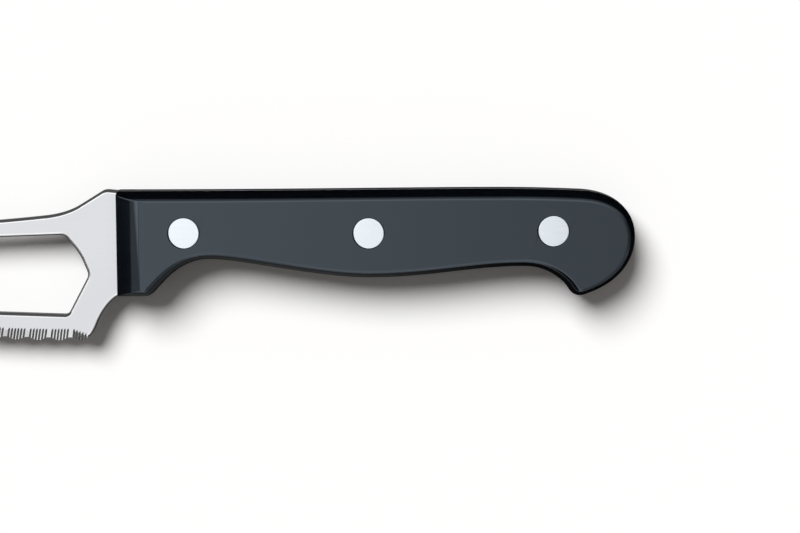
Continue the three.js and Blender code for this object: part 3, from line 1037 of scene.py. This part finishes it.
@dataclass
class HandleOutline:
    """Outline shared by the tang and both scales.

    Heights are taken from the rivet line and places from the front or the butt. A bend gives the handles
    of the curve that ends at the place it is named for, as shares of its span.
    """

    length: float = 108.95
    top_height: float = 8.37
    crest_rise: float = 0.53
    crest_from_butt: float = 28.5
    crest_bend: Shares = (0.45, 0, 0.75, 1)
    shoulder_from_butt: float = 11.5
    shoulder_drop: float = 0.37
    shoulder_bend: Shares = (0.45, 0, 0.72, 0.5)
    butt_drop: float = 1.15
    butt_bend: Shares = (0.64, 0.04, 1, 0.44)
    beak_from_butt: float = 12.7
    beak_depth: float = 14.4
    beak_bend: Shares = (0, 0.45, 0.37, 0.82)
    beak_rounding: float = 2.75
    beak_rear_side: Point = (0.92, 0.39)
    beak_front_side: Point = (-0.5, 0.86)
    waist_from_butt: float = 23.5
    waist_depth: float = 7.45
    waist_bend: Shares = (0.13, 0.44, 0.53, 1.04)
    palm_depth: float = 9.85
    palm_bend: Shares = (0.33, 0, 0.6, 1)
    choil_from_front: float = 19.3
    choil_depth: float = 5.95
    choil_bend: Shares = (0.33, 0, 0.8, 1)
    guard_length: float = 6.7
    guard_depth: float = 13.9
    guard_slope: float = 0.93
    guard_rise: float = 3.5
    guard_bend: Shares = (0.45, 0, 0.8, 0.55)
    guard_rounding: float = 1.3
    rivet_from_front: float = 14.23
    rivet_from_butt: float = 17.44
    rear_rivet_rise: float = 0.46

    def rivets(self) -> dict[str, Point]:
        """Gives the rivets' places.

        Returns:
            Place of each rivet by its name.
        """
        rear = self.length - self.rivet_from_butt
        return {
            "front": (self.rivet_from_front, 0.0),
            "middle": ((self.rivet_from_front + rear) / 2, 0.0),
            "rear": (rear, self.rear_rivet_rise),
        }

    def draw(self, pen: Pen) -> None:
        """Draws the outline from the front of the upper edge round the butt to the guard's front.

        Args:
            pen: Pen that stands at the front of the upper edge.
        """
        crest_height = self.top_height + self.crest_rise
        beak = Vector((self.length - self.beak_from_butt, -self.beak_depth))
        beak_rear = beak + Vector(self.beak_rear_side).normalized() * self.beak_rounding
        beak_front = beak + Vector(self.beak_front_side).normalized() * self.beak_rounding
        guard_corner = (self.guard_length, -self.guard_depth)
        guard_top = (
            self.guard_length + self.guard_rise * self.guard_slope, self.guard_rise - self.guard_depth
        )
        pen.bend((self.length - self.crest_from_butt, crest_height), self.crest_bend)
        shoulder = (self.length - self.shoulder_from_butt, crest_height - self.shoulder_drop)
        pen.bend(shoulder, self.shoulder_bend)
        pen.bend((self.length, -self.butt_drop), self.butt_bend)
        pen.bend(tuple(beak_rear), self.beak_bend)
        pen.bow(tuple(beak), tuple(beak_front))
        pen.bend((self.length - self.waist_from_butt, -self.waist_depth), self.waist_bend)
        pen.bend((self.rivets()["middle"][0], -self.palm_depth), self.palm_bend)
        pen.bend((self.choil_from_front, -self.choil_depth), self.choil_bend)
        pen.bend(guard_top, self.guard_bend)
        pen.turn(guard_corner, (0, -self.guard_depth), self.guard_rounding)
        pen.line((0, -self.guard_depth))


@dataclass
class Blade:
    """The blade and its full tang, one piece of steel: windows, waved and fluted edge, forked tip."""

    handle: HandleOutline
    length: float = 140.0
    thickness: float = 2.5
    curve_steps: int = 28
    crease: float = 20.0
    spine_end: float = 0.1
    spine_corner: float = 2.7
    spine_corner_rise: float = 0.27
    spine_corner_rounding: float = 0.9
    spine_slope: float = 0.62
    spine_slope_length: float = 5.4
    spine_run_start: float = 15.45
    spine_run_drop: float = 5.37
    spine_run_slope: float = 0.112
    spine_run_handle: float = 30.0
    spine_tip_handle: float = 45.0
    spine_tip_slope: float = 0.3
    edge_depth: float = 23.7
    edge_deepest: float = 12.5
    belly_radius: float = 280.0
    wave_pitch: float = 4.64
    wave_depth: float = 0.7
    wave_steps: int = 20
    first_peak: float = 8.3
    heel_reach: float = 4.72
    heel_drop: float = 5.75
    heel_bend: Shares = (0.24, 0.06, 0.69, 0.42)
    first_peak_bend: Shares = (0.23, 0.52, 0.49, 0.93)
    plain_tip: float = 19.4
    grind_height: float = 2.2
    grind_depth: float = 1.0
    grind_run_out: float = 4.2
    grind_lift: float = 0.7
    grind_overrun: float = 1.0
    grind_room: float = 3.0
    grooves_per_wave: int = 6
    groove_depth: float = 0.25
    groove_lean: float = 0.2
    groove_share: float = 0.6
    groove_fullness: float = 0.8
    groove_steps: int = 10
    back_height: float = 4.2
    back_depth: float = 1.1
    back_step: float = 5.0
    edge_break: float = 0.45
    break_width: float = 0.7
    break_margin: float = 0.06
    break_steps: int = 10
    prong_break: float = 0.5
    tang_break: float = 0.02
    window_count: int = 3
    first_window_end: float = 6.42
    first_corner_top: float = 0.98
    solid_tip: float = 34.0
    window_bar: float = 5.0
    upper_bar: float = 3.3
    lower_bar: float = 5.6
    top_taper: float = 0.58
    low_taper: float = 0.51
    window_bow: float = 0.8
    bow_rounding: float = 3.0
    window_rounding: float = 0.9
    lower_prong_setback: float = 3.0
    prong_spread: float = 6.5
    prong_length: float = 13.0
    prong_tip_width: float = 1.7
    fork_rise: float = 0.35
    fork_gap: float = 3.2

    @property
    def half(self) -> float:
        """Half the blade's thickness."""
        return self.thickness / 2

    @property
    def belly_centre(self) -> Point:
        """Centre of the belly's arc."""
        return (-self.edge_deepest, self.belly_radius - self.edge_depth)

    def belly_point(self, along: float, height: float = 0.0) -> Point:
        """Gives a place on or over the belly.

        Args:
            along: Distance along the belly from its deepest point towards the tip.
            height: Height over the belly.

        Returns:
            The place.
        """
        angle = along / self.belly_radius
        radius = self.belly_radius - height
        x, y = self.belly_centre
        return (x - radius * math.sin(angle), y - radius * math.cos(angle))

    def belly_along(self, from_front: float) -> float:
        """Distance along the belly of the point that lies so far in front of the scales."""
        return self.belly_radius * math.asin((from_front - self.edge_deepest) / self.belly_radius)

    def belly_height(self, x: float) -> float:
        """Height of the belly at an X."""
        return self.belly_point(self.belly_along(-x))[1]

    @property
    def last_tooth(self) -> float:
        """Distance along the belly where the teeth end."""
        return self.belly_along(self.length - self.plain_tip)

    @property
    def grind_start(self) -> float:
        """Distance along the belly where both grinds begin, half a wave behind the first peak."""
        return self.belly_along(self.first_peak) - self.wave_pitch / 2

    @property
    def tips(self) -> tuple[Vector, Vector]:
        """Points of the lower and the upper prong."""
        lower = self.belly_point(self.belly_along(self.length - self.lower_prong_setback))
        return Vector(lower), Vector((-self.length, lower[1] + self.prong_spread))

    def sweep(self) -> tuple[Vector, Vector, Vector, Vector]:
        """Gives the spine's long curve.

        Returns:
            Its start near the handle, its two handles and its end at the upper prong.
        """
        start = Vector((-self.spine_run_start, self.handle.top_height - self.spine_run_drop))
        tip = self.tips[1]
        return (
            start,
            start + Vector((-self.spine_run_handle, -self.spine_run_handle * self.spine_run_slope)),
            tip + Vector((self.spine_tip_handle, -self.spine_tip_handle * self.spine_tip_slope)),
            tip,
        )

    def spine_height(self, x: float) -> float:
        """Finds the height of the spine's long curve at an X by halving.

        Args:
            x: Place along the knife.

        Returns:
            The height there.
        """
        controls = self.sweep()
        low, high = 0.0, 1.0
        spot = controls[0]
        for _ in range(HALVINGS):
            t = (low + high) / 2
            spot = on_curve(t, *controls)
            if spot.x > x:
                low = t
            else:
                high = t
        return spot.y

    def draw_edge(self, pen: Pen) -> None:
        """Draws the waved cutting edge from the heel to the end of the teeth.

        Args:
            pen: Pen that stands on the first peak.
        """
        first = self.belly_along(self.first_peak)
        waves = math.floor((self.last_tooth - first) / self.wave_pitch)
        for i in range(1, waves * self.wave_steps + 1):
            turn = i / self.wave_steps
            height = self.wave_depth * (1 - math.cos(math.tau * turn)) / 2
            pen.line(self.belly_point(first + turn * self.wave_pitch, height))

    def draw_fork(self, pen: Pen) -> None:
        """Draws the two prongs, from the lower one's outer side to the upper one's point.

        Args:
            pen: Pen that stands at the end of the teeth.
        """
        lower, upper = self.tips
        forward = Vector((-1, self.fork_rise)).normalized()
        up = Vector((self.fork_rise, 1)).normalized()
        root = (lower + upper) / 2 - forward * self.prong_length
        low_root, high_root = root - up * self.fork_gap / 2, root + up * self.fork_gap / 2
        low_inner, high_inner = lower + up * self.prong_tip_width, upper - up * self.prong_tip_width
        nose = forward * self.prong_tip_width * 2 / 3
        bowl = -forward * self.fork_gap * 2 / 3
        pen.line(lower)
        pen.curve(lower + nose, low_inner + nose, low_inner)
        pen.line(low_root)
        pen.curve(low_root + bowl, high_root + bowl, high_root)
        pen.line(high_inner)
        pen.curve(high_inner + nose, upper + nose, upper)

    def draw_spine(self, pen: Pen) -> None:
        """Draws the spine from the upper prong back to the handle.

        Args:
            pen: Pen that stands on the upper prong's point.
        """
        start, near_handle, near_tip, _ = self.sweep()
        top = self.handle.top_height
        pen.curve(near_tip, near_handle, start)
        corner = Vector((-self.spine_corner, top + self.spine_corner_rise))
        foot = corner - Vector((1, self.spine_slope)) * self.spine_slope_length
        rise = foot.y - start.y - (foot.x - start.x) * self.spine_run_slope
        meeting = rise / (self.spine_slope - self.spine_run_slope)
        pen.bow(foot - Vector((1, self.spine_slope)) * meeting, foot)
        pen.turn(corner, (0, top), self.spine_corner_rounding)
        pen.line((-self.spine_end, top))

    def outline(self) -> Outline:
        """Draws the whole outline.

        Returns:
            Its points: tang, heel, edge, fork and spine.
        """
        pen = Pen((0, self.handle.top_height), self.curve_steps)
        self.handle.draw(pen)
        pen.bend((-self.heel_reach, -self.handle.guard_depth - self.heel_drop), self.heel_bend)
        pen.bend(self.belly_point(self.belly_along(self.first_peak)), self.first_peak_bend)
        self.draw_edge(pen)
        self.draw_fork(pen)
        self.draw_spine(pen)
        return pen.closed()

    def window_end(self, x: float, inward: int, top_height: float | None) -> list[tuple[Vector, float]]:
        """Finds one pointed end of a window.

        Args:
            x: Place of its point.
            inward: Direction along X into the window.
            top_height: Height of its upper corner, where that isn't given by the spine.

        Returns:
            Upper corner, shoulder, point and lower corner, each with its rounding.
        """
        room = self.spine_height(x) - self.upper_bar - self.belly_height(x) - self.lower_bar
        top_x = x + inward * self.top_taper * room / 2
        low_x = x + inward * self.low_taper * room / 2
        if top_height is None:
            top_height = self.spine_height(top_x) - self.upper_bar
        top = Vector((top_x, top_height))
        low = Vector((low_x, self.belly_height(low_x) + self.lower_bar))
        apex = Vector((x, (top.y + low.y) / 2))
        side = top - apex
        outward = Vector((side.y, -side.x)).normalized() * -inward * self.window_bow
        shoulder = (top + apex) / 2 + outward
        rounding = self.window_rounding
        return [(top, rounding), (shoulder, self.bow_rounding), (apex, rounding), (low, rounding)]

    def window(self, rear: float, front: float, top_height: float | None) -> Outline:
        """Draws one window between two X values.

        Args:
            rear: Place of its point towards the handle.
            front: Place of its point towards the tip.
            top_height: Height of its rear upper corner, where that isn't given by the spine.

        Returns:
            Its points.
        """
        top, shoulder, apex, low = self.window_end(rear, -1, top_height)
        corners = [apex, shoulder, top, *self.window_end(front, 1, None), low]
        opening = tuple((low[0] + apex[0]) / 2)
        pen = Pen(opening, self.curve_steps // 2)
        for i, (corner, rounding) in enumerate(corners):
            pen.turn(corner, corners[(i + 1) % len(corners)][0], rounding)
        return pen.closed()

    def windows(self) -> list[Outline]:
        """Draws all windows.

        Returns:
            Points of each, from the handle on.
        """
        room = self.length - self.solid_tip - self.first_window_end
        length = (room - self.window_bar * (self.window_count - 1)) / self.window_count
        drawn = []
        for i in range(self.window_count):
            rear = -self.first_window_end - i * (length + self.window_bar)
            drawn.append(self.window(rear, rear - length, None if i else -self.first_corner_top))
        return drawn

    def break_share(self, x: float) -> float:
        """Gives the share of the edge rounding at an X: hardly any on the tang, half on thin prongs.

        Args:
            x: Place along the knife.

        Returns:
            The share.
        """
        if x >= 0:
            return self.tang_break
        from_tip = (x + self.length) / self.prong_length - 1
        return self.prong_break + (1 - self.prong_break) * min(max(from_tip, 0.0), 1.0)

    def plate(self) -> Workpiece:
        """Builds the plate with rounded edges, nearly square ones between the scales.

        Returns:
            The plate.
        """
        loops = [self.outline(), *self.windows()]
        shares = [[self.break_share(x) for x, _ in loop] for loop in loops]
        sections = [(self.break_width + self.break_margin, 0.0)]
        for i in range(self.break_steps + 1):
            angle = math.pi / 2 * i / self.break_steps
            inset = self.break_width * (1 - math.sin(angle))
            sections.append((inset, self.edge_break * (1 - math.cos(angle))))

        def rings(inset: float, drop: float, side: Side) -> list[Ring]:
            """Places every loop.

            Args:
                inset: Inset from its outline.
                drop: Drop from the face.
                side: Side of the face.

            Returns:
                The placed loops.
            """
            placed = []
            for loop, share in zip(loops, shares):
                moved = shifted(loop, [inset * s for s in share])
                levels = [side.value * (self.half - drop * s) for s in share]
                placed.append([Vector((*spot, level)) for spot, level in zip(moved, levels)])
            return placed

        piece = Workpiece.from_loops("blade_body", rings(*sections[0], Side.LOWER))
        rest = [(section, Side.LOWER) for section in sections[1:]]
        rest += [(section, Side.UPPER) for section in reversed(sections)]
        for section, side in rest:
            piece.pull([spot for ring in rings(*section, side) for spot in ring])
        piece.close()
        return piece

    def grind(
        self, height: float, depth: float, lean: float, places: Sequence[Point], side: Side
    ) -> Workpiece:
        """Makes the space that a grinding wheel takes along the edge, fading towards the heel.

        Args:
            height: Height of the ground band over the belly.
            depth: Depth of the grind at the belly.
            lean: Forward run of the wheel's ridges over their fall.
            places: Distance along the belly and extra depth at each step of the wheel.
            side: Side of the blade.

        Returns:
            The cutter.
        """
        slope = depth / height
        outside = self.half + slope * self.grind_overrun
        inside = self.half - slope * (height + self.grind_overrun)
        shift = (height / 2 + self.grind_overrun) * lean
        columns = []
        for along, extra in places:
            fade = max(0.0, 1 - (along - self.grind_start) / self.grind_run_out)
            level = fade * self.grind_lift * depth - extra
            low = self.belly_point(along + shift, -self.grind_overrun)
            top = self.belly_point(along - shift, height + self.grind_overrun)
            columns.append((
                Vector((*low, side.value * (inside + level))),
                Vector((*top, side.value * (outside + level))),
            ))
        return Workpiece.from_strip("grind", columns, side.value * self.grind_room * self.thickness)

    def flutes(self) -> list[Point]:
        """Steps the fine teeth: flat lands with round flutes between them, none where two waves meet.

        Returns:
            Distance along the belly and depth of the flute at each step.
        """
        slots = self.grooves_per_wave + 1
        slot = self.wave_pitch / slots
        count = math.ceil((self.last_tooth - self.grind_start) / slot)
        half_width = slot * self.groove_share / 2
        steps: list[Point] = [(self.grind_start, 0.0)]
        for i in range(1, count):
            if i % slots == 0:
                continue
            middle = self.grind_start + i * slot
            for j in range(self.groove_steps + 1):
                turn = math.pi * (1 - j / self.groove_steps)
                sunk = self.groove_depth * math.sin(turn) ** self.groove_fullness
                steps.append((middle + half_width * math.cos(turn), sunk))
        steps.append((self.grind_start + count * slot, 0.0))
        return steps

    def build(self, rivet: "Rivet", origin: Vector) -> None:
        """Builds and dresses the blade.

        Args:
            rivet: Rivets that pass through the tang.
            origin: Place of the knife's own origin in the frame.
        """
        piece = self.plate()
        flutes = self.flutes()
        piece.cut(self.grind(self.grind_height, self.grind_depth, self.groove_lean, flutes, Side.UPPER))
        count = math.ceil((self.last_tooth - self.grind_start) / self.back_step)
        places = [(self.grind_start + i * self.back_step, 0.0) for i in range(count + 1)]
        piece.cut(self.grind(self.back_height, self.back_depth, 0.0, places, Side.LOWER))
        for place in self.handle.rivets().values():
            piece.cut(rivet.hole(place))
        piece.smooth(self.crease)
        finish_piece(piece.settle(origin), "blade", SatinSteel().material(self, origin))


@dataclass
class Rivet:
    """A cutler's rivet in two halves, pressed together through both scales and the tang."""

    face: float
    head_diameter: float = 6.4
    head_height: float = 1.8
    head_dome: float = 0.02
    dome_rings: tuple[float, ...] = (0.9, 0.75, 0.6, 0.45, 0.3, 0.15)
    rim: float = 0.12
    rim_steps: int = 4
    barrel_diameter: float = 4.4
    pin_diameter: float = 2.8
    pin_length: float = 3.6
    point_inset: float = 0.3
    point_length: float = 0.4
    clearance: float = 0.1
    hole_overrun: float = 3.0
    sides: int = 96
    crease: float = 35.0

    def hole(self, place: Point) -> Workpiece:
        """Makes the stepped hole for one rivet.

        Args:
            place: Place of the rivet.

        Returns:
            The cutter.
        """
        head = self.head_diameter / 2 + self.clearance
        barrel = self.barrel_diameter / 2 + self.clearance
        seat, end = self.face - self.head_height, self.face + self.hole_overrun
        piece = Workpiece.from_spin("hole", [
            (0, -end), (head, -end), (head, -seat), (barrel, -seat),
            (barrel, seat), (head, seat), (head, end), (0, end),
        ], self.sides)
        piece.obj.location = (*place, 0)
        pick(piece.obj)
        bpy.ops.object.transform_apply(location=True, rotation=False, scale=False)
        return piece

    def crown(self) -> list[Point]:
        """Draws a head from its seat to the axis, with a rounded rim and a faint dome.

        Returns:
            Radius and height of each point.
        """
        head, seat = self.head_diameter / 2, self.face - self.head_height
        profile = [(self.barrel_diameter / 2, seat), (head, seat)]
        for i in range(self.rim_steps + 1):
            angle = math.pi / 2 * i / self.rim_steps
            radius = head - self.rim * (1 - math.cos(angle))
            profile.append((radius, self.face - self.head_dome - self.rim * (1 - math.sin(angle))))
        for share in self.dome_rings:
            profile.append((head * share, self.face - self.head_dome * share**2))
        profile.append((0, self.face))
        return profile

    def pin(self) -> Workpiece:
        """Turns the solid half, its head in the upper scale.

        Returns:
            The half, in object mode.
        """
        pin, barrel, end = self.pin_diameter / 2, self.barrel_diameter / 2, -self.pin_length
        profile = [(0, end), (pin - self.point_inset, end), (pin, self.point_length + end)]
        profile += [(pin, 0), (barrel, 0), *self.crown()]
        return Workpiece.from_spin("pin", profile, self.sides)

    def socket(self) -> Workpiece:
        """Turns the hollow half, its head in the lower scale and its bore open to the pin.

        Returns:
            The half, in object mode.
        """
        bore, barrel = self.pin_diameter / 2 + self.clearance, self.barrel_diameter / 2
        floor = self.pin_length + self.clearance
        profile = [(0, floor), (bore, floor), (bore, 0), (barrel, 0), *self.crown()]
        piece = Workpiece.from_spin("socket", profile, self.sides)
        piece.flip()
        return piece

    def build(self, places: dict[str, Point], origin: Vector) -> None:
        """Builds and dresses all rivets.

        Args:
            places: Place of each rivet by its name.
            origin: Place of the knife's own origin in the frame.
        """
        material = RivetMetal().material()
        for half, model in (("pin", self.pin()), ("socket", self.socket())):
            model.smooth(self.crease)
            for name, place in places.items():
                node = f"{name}_rivet_{half}"
                obj = model.copy(f"{node}_body").settle(origin, place)
                finish_piece(obj, node, material)
            model.scrap()


@dataclass
class Scales:
    """The two handle scales: crowned sides, flat faces, ramped fronts and stepped rivet holes."""

    handle: HandleOutline
    tang_half: float
    thickness: float = 5.2
    crown_width: float = 1.95
    crown_margin: float = 0.05
    crown_steps: int = 24
    ramp_length: float = 4.95
    ramp_drop: float = 1.5
    ramp_shoulder_length: float = 2.75
    ramp_shoulder_drop: float = 0.363
    ramp_bend: float = 1.1
    ramp_last_step: float = 0.96
    ramp_lead: float = 1.0
    ramp_overrun: float = 0.5
    ramp_steps: int = 24
    edge_rounding: float = 0.14
    edge_steps: int = 3
    edge_angle: float = 32.0
    crease: float = 24.0
    front_margin: float = 3.0
    curve_steps: int = 28

    @property
    def face(self) -> float:
        """Height of the flat face over the middle of the blade."""
        return self.tang_half + self.thickness

    def block(self) -> Workpiece:
        """Builds the crowned block, cut square at the front.

        Returns:
            The block.
        """
        pen = Pen((-self.front_margin, self.handle.top_height), self.curve_steps)
        pen.line((0, self.handle.top_height))
        self.handle.draw(pen)
        pen.line((-self.front_margin, -self.handle.guard_depth))
        loop = pen.closed()
        sections = []
        for i in range(self.crown_steps + 1):
            angle = math.pi / 2 * i / self.crown_steps
            inset = self.crown_width * (1 - math.cos(angle))
            sections.append((inset, self.thickness * math.sin(angle)))
        sections.append((self.crown_width + self.crown_margin, self.thickness))

        def ring(inset: float, height: float) -> Ring:
            """Places the outline at an inset and a height over the tang."""
            moved = shifted(loop, [inset] * len(loop))
            return [Vector((*spot, self.tang_half + height)) for spot in moved]

        piece = Workpiece.from_loops("scale", [ring(*sections[0])])
        for section in sections[1:]:
            piece.pull(ring(*section))
        piece.close()
        piece.slice_off(Vector((0, 0, 0)), Vector((-1, 0, 0)))
        return piece

    def ramp(self) -> Workpiece:
        """Makes the space over the ramp at the front.

        Returns:
            The cutter.
        """
        width = 2 * self.handle.guard_depth
        pen = Pen((0, self.face - self.ramp_drop), self.ramp_steps)
        meeting = (self.ramp_length - self.ramp_shoulder_length, self.face - self.ramp_shoulder_drop)
        end = Vector((self.ramp_length, self.face))
        pen.turn(meeting, end, self.ramp_bend)
        pen.line(pen.place.lerp(end, self.ramp_last_step))
        pen.line(end)
        pen.line((self.ramp_length + self.ramp_overrun, self.face + self.ramp_overrun))
        first, second = pen.points[0], pen.points[1]
        slope = (second[1] - first[1]) / (second[0] - first[0])
        pen.points.insert(0, (-self.ramp_lead, first[1] - slope * self.ramp_lead))
        columns = [(Vector((x, -width, z)), Vector((x, width, z))) for x, z in pen.points]
        return Workpiece.from_strip("ramp", columns, 2 * self.thickness)

    def build(self, rivet: Rivet, origin: Vector) -> None:
        """Builds and dresses both scales.

        Args:
            rivet: Rivets that hold the scales.
            origin: Place of the knife's own origin in the frame.
        """
        upper = self.block()
        upper.cut(self.ramp())
        for place in self.handle.rivets().values():
            upper.cut(rivet.hole(place))
        upper.obj.name = "upper_scale_body"
        lower = upper.copy("lower_scale_body")
        lower.flip()
        material = BlackPlastic().material()
        for piece, node in ((upper, "upper_scale"), (lower, "lower_scale")):
            piece.modify(
                "BEVEL", width=self.edge_rounding, segments=self.edge_steps, limit_method="ANGLE",
                angle_limit=math.radians(self.edge_angle), use_clamp_overlap=False,
            )
            piece.smooth(self.crease)
            finish_piece(piece.settle(origin), node, material)


@dataclass
class Studio:
    """Pale floor, soft key, light tent and dark cards for the reflections, and the picture's camera."""

    origin: Vector
    floor_size: float = 40.0
    key_strength: float = 3.61
    key_spread: float = 31.0
    key_tilt: float = 37.7
    key_heading: float = 31.2
    key_place: tuple[float, float, float] = (-0.5, 0.8, 1.5)
    tent_radius: float = 6.0
    tent_segments: int = 64
    card_sides: Span = (-1.1, 1.9)
    card_front: float = -0.16
    card_meeting: float = 0.003
    card_back: float = 1.5
    card_lift: float = 0.0003
    ambient: Colour = (0.15, 0.141, 0.135, 1)
    view_distance: float = 0.48
    view_tilt: float = 8.0
    view_from_front: float = 0.059433
    view_below_rivets: float = 0.007872
    lens: float = 101.89
    film_width: float = 36.0
    near_limit: float = 0.01

    def only_reflected(self, obj: bpy.types.Object) -> None:
        """Lets an object of the studio show in reflections alone.

        Args:
            obj: The object.
        """
        obj.visible_camera = False
        obj.visible_diffuse = False
        obj.visible_transmission = False
        obj.visible_shadow = False

    def floor(self) -> None:
        """Lays the floor that the knife rests on."""
        clear_bench()
        bpy.ops.mesh.primitive_plane_add(size=self.floor_size)
        floor = bpy.context.object
        floor.name = "floor"
        floor.data.materials.append(PaleFloor().material())

    def key(self) -> None:
        """Adds the soft key, which shines from the side of spine and tip and makes the shadow."""
        clear_bench()
        turn = (-math.radians(self.key_tilt), 0, math.radians(self.key_heading))
        bpy.ops.object.light_add(type="SUN", location=self.key_place, rotation=turn)
        lamp = bpy.context.object
        lamp.name = "key"
        lamp.data.energy = self.key_strength
        lamp.data.angle = math.radians(self.key_spread)
        lamp.visible_camera = False
        lamp.visible_glossy = False

    def tent(self) -> None:
        """Raises the light tent, a dome that the metal and the plastic mirror."""
        clear_bench()
        bpy.ops.mesh.primitive_uv_sphere_add(
            segments=self.tent_segments, ring_count=self.tent_segments // 2, radius=self.tent_radius
        )
        tent = bpy.context.object
        tent.name = "light_tent"
        start_edit()
        bpy.ops.mesh.bisect(plane_co=(0, 0, 0), plane_no=(0, 0, -1), clear_outer=True)
        end_edit()
        tent.data.materials.append(TentCloth().material(self.tent_radius))
        self.only_reflected(tent)

    def lay_card(self, card: DarkCard, front: float, back: float) -> None:
        """Lays a card just over the floor, for the knife's sides to mirror.

        Args:
            card: The card.
            front: Y of its front edge.
            back: Y of its back edge.
        """
        left, right = self.card_sides
        clear_bench()
        bpy.ops.mesh.primitive_plane_add(size=1)
        flag = bpy.context.object
        flag.name = card.name
        start_edit()
        bpy.ops.transform.resize(value=(right - left, back - front, 1))
        bpy.ops.transform.translate(value=((left + right) / 2, (front + back) / 2, self.card_lift))
        end_edit()
        flag.data.materials.append(card.material(self.origin))
        self.only_reflected(flag)

    def cards(self) -> None:
        """Lays a black card behind the knife and one before it that grows dark towards the butt."""
        self.lay_card(DarkCard("flag_behind", shade=0.002), self.card_meeting, self.card_back)
        before = DarkCard("flag_before", shade=0.13, butt_shade=0.01)
        self.lay_card(before, self.card_front, self.card_meeting)

    def world(self) -> None:
        """Makes the surroundings white to look at and a faint warm fill as light."""
        scene = bpy.context.scene
        scene.world = bpy.data.worlds.new("surround")
        scene.world.use_nodes = True
        graph = Graph(scene.world.node_tree)
        rays = graph.node("ShaderNodeLightPath", {}, {}).outputs
        seen = Value(graph, rays["Is Camera Ray"])
        for name in ("Is Glossy Ray", "Is Transmission Ray"):
            seen = seen.at_least(rays[name])
        graph.feed(graph.find("BACKGROUND").inputs["Color"], graph.mix(self.ambient, WHITE, seen))
        scene.view_settings.view_transform = "Standard"

    def camera(self) -> None:
        """Sets up the camera over the knife, a little towards its spine."""
        tilt = math.radians(self.view_tilt)
        target = self.origin + Vector((self.view_from_front, -self.view_below_rivets, 0))
        place = target + Vector((0, math.sin(tilt), math.cos(tilt))) * self.view_distance
        clear_bench()
        bpy.ops.object.camera_add(location=place, rotation=(-tilt, 0, 0))
        camera = bpy.context.object
        camera.name = "picture_camera"
        camera.data.lens = self.lens
        camera.data.sensor_width = self.film_width
        camera.data.clip_start = self.near_limit
        bpy.context.scene.camera = camera

    def build(self) -> None:
        """Builds the whole studio."""
        self.floor()
        self.key()
        self.tent()
        self.cards()
        self.world()
        self.camera()


def main() -> None:
    """Loads the frame, reads the CAD boxes that place the knife's origin, and builds every piece and the
    studio.
    """
    logging.basicConfig(level=logging.INFO, format="%(name)s: %(message)s")
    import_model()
    front_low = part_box("upper_scale")[0]
    rivet_low, rivet_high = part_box("front_rivet_pin")
    blade_low, blade_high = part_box("blade")
    rivet_line = (rivet_low[1] + rivet_high[1]) / 2
    origin = Vector((front_low[0], rivet_line, (blade_low[2] + blade_high[2]) / 2))
    handle = HandleOutline()
    blade = Blade(handle)
    scales = Scales(handle, blade.half)
    rivet = Rivet(scales.face)
    blade.build(rivet, origin)
    scales.build(rivet, origin)
    rivet.build(handle.rivets(), origin)
    Studio(origin).build()
    LOG.info("studio ready")


if __name__ == "__main__":
    main()
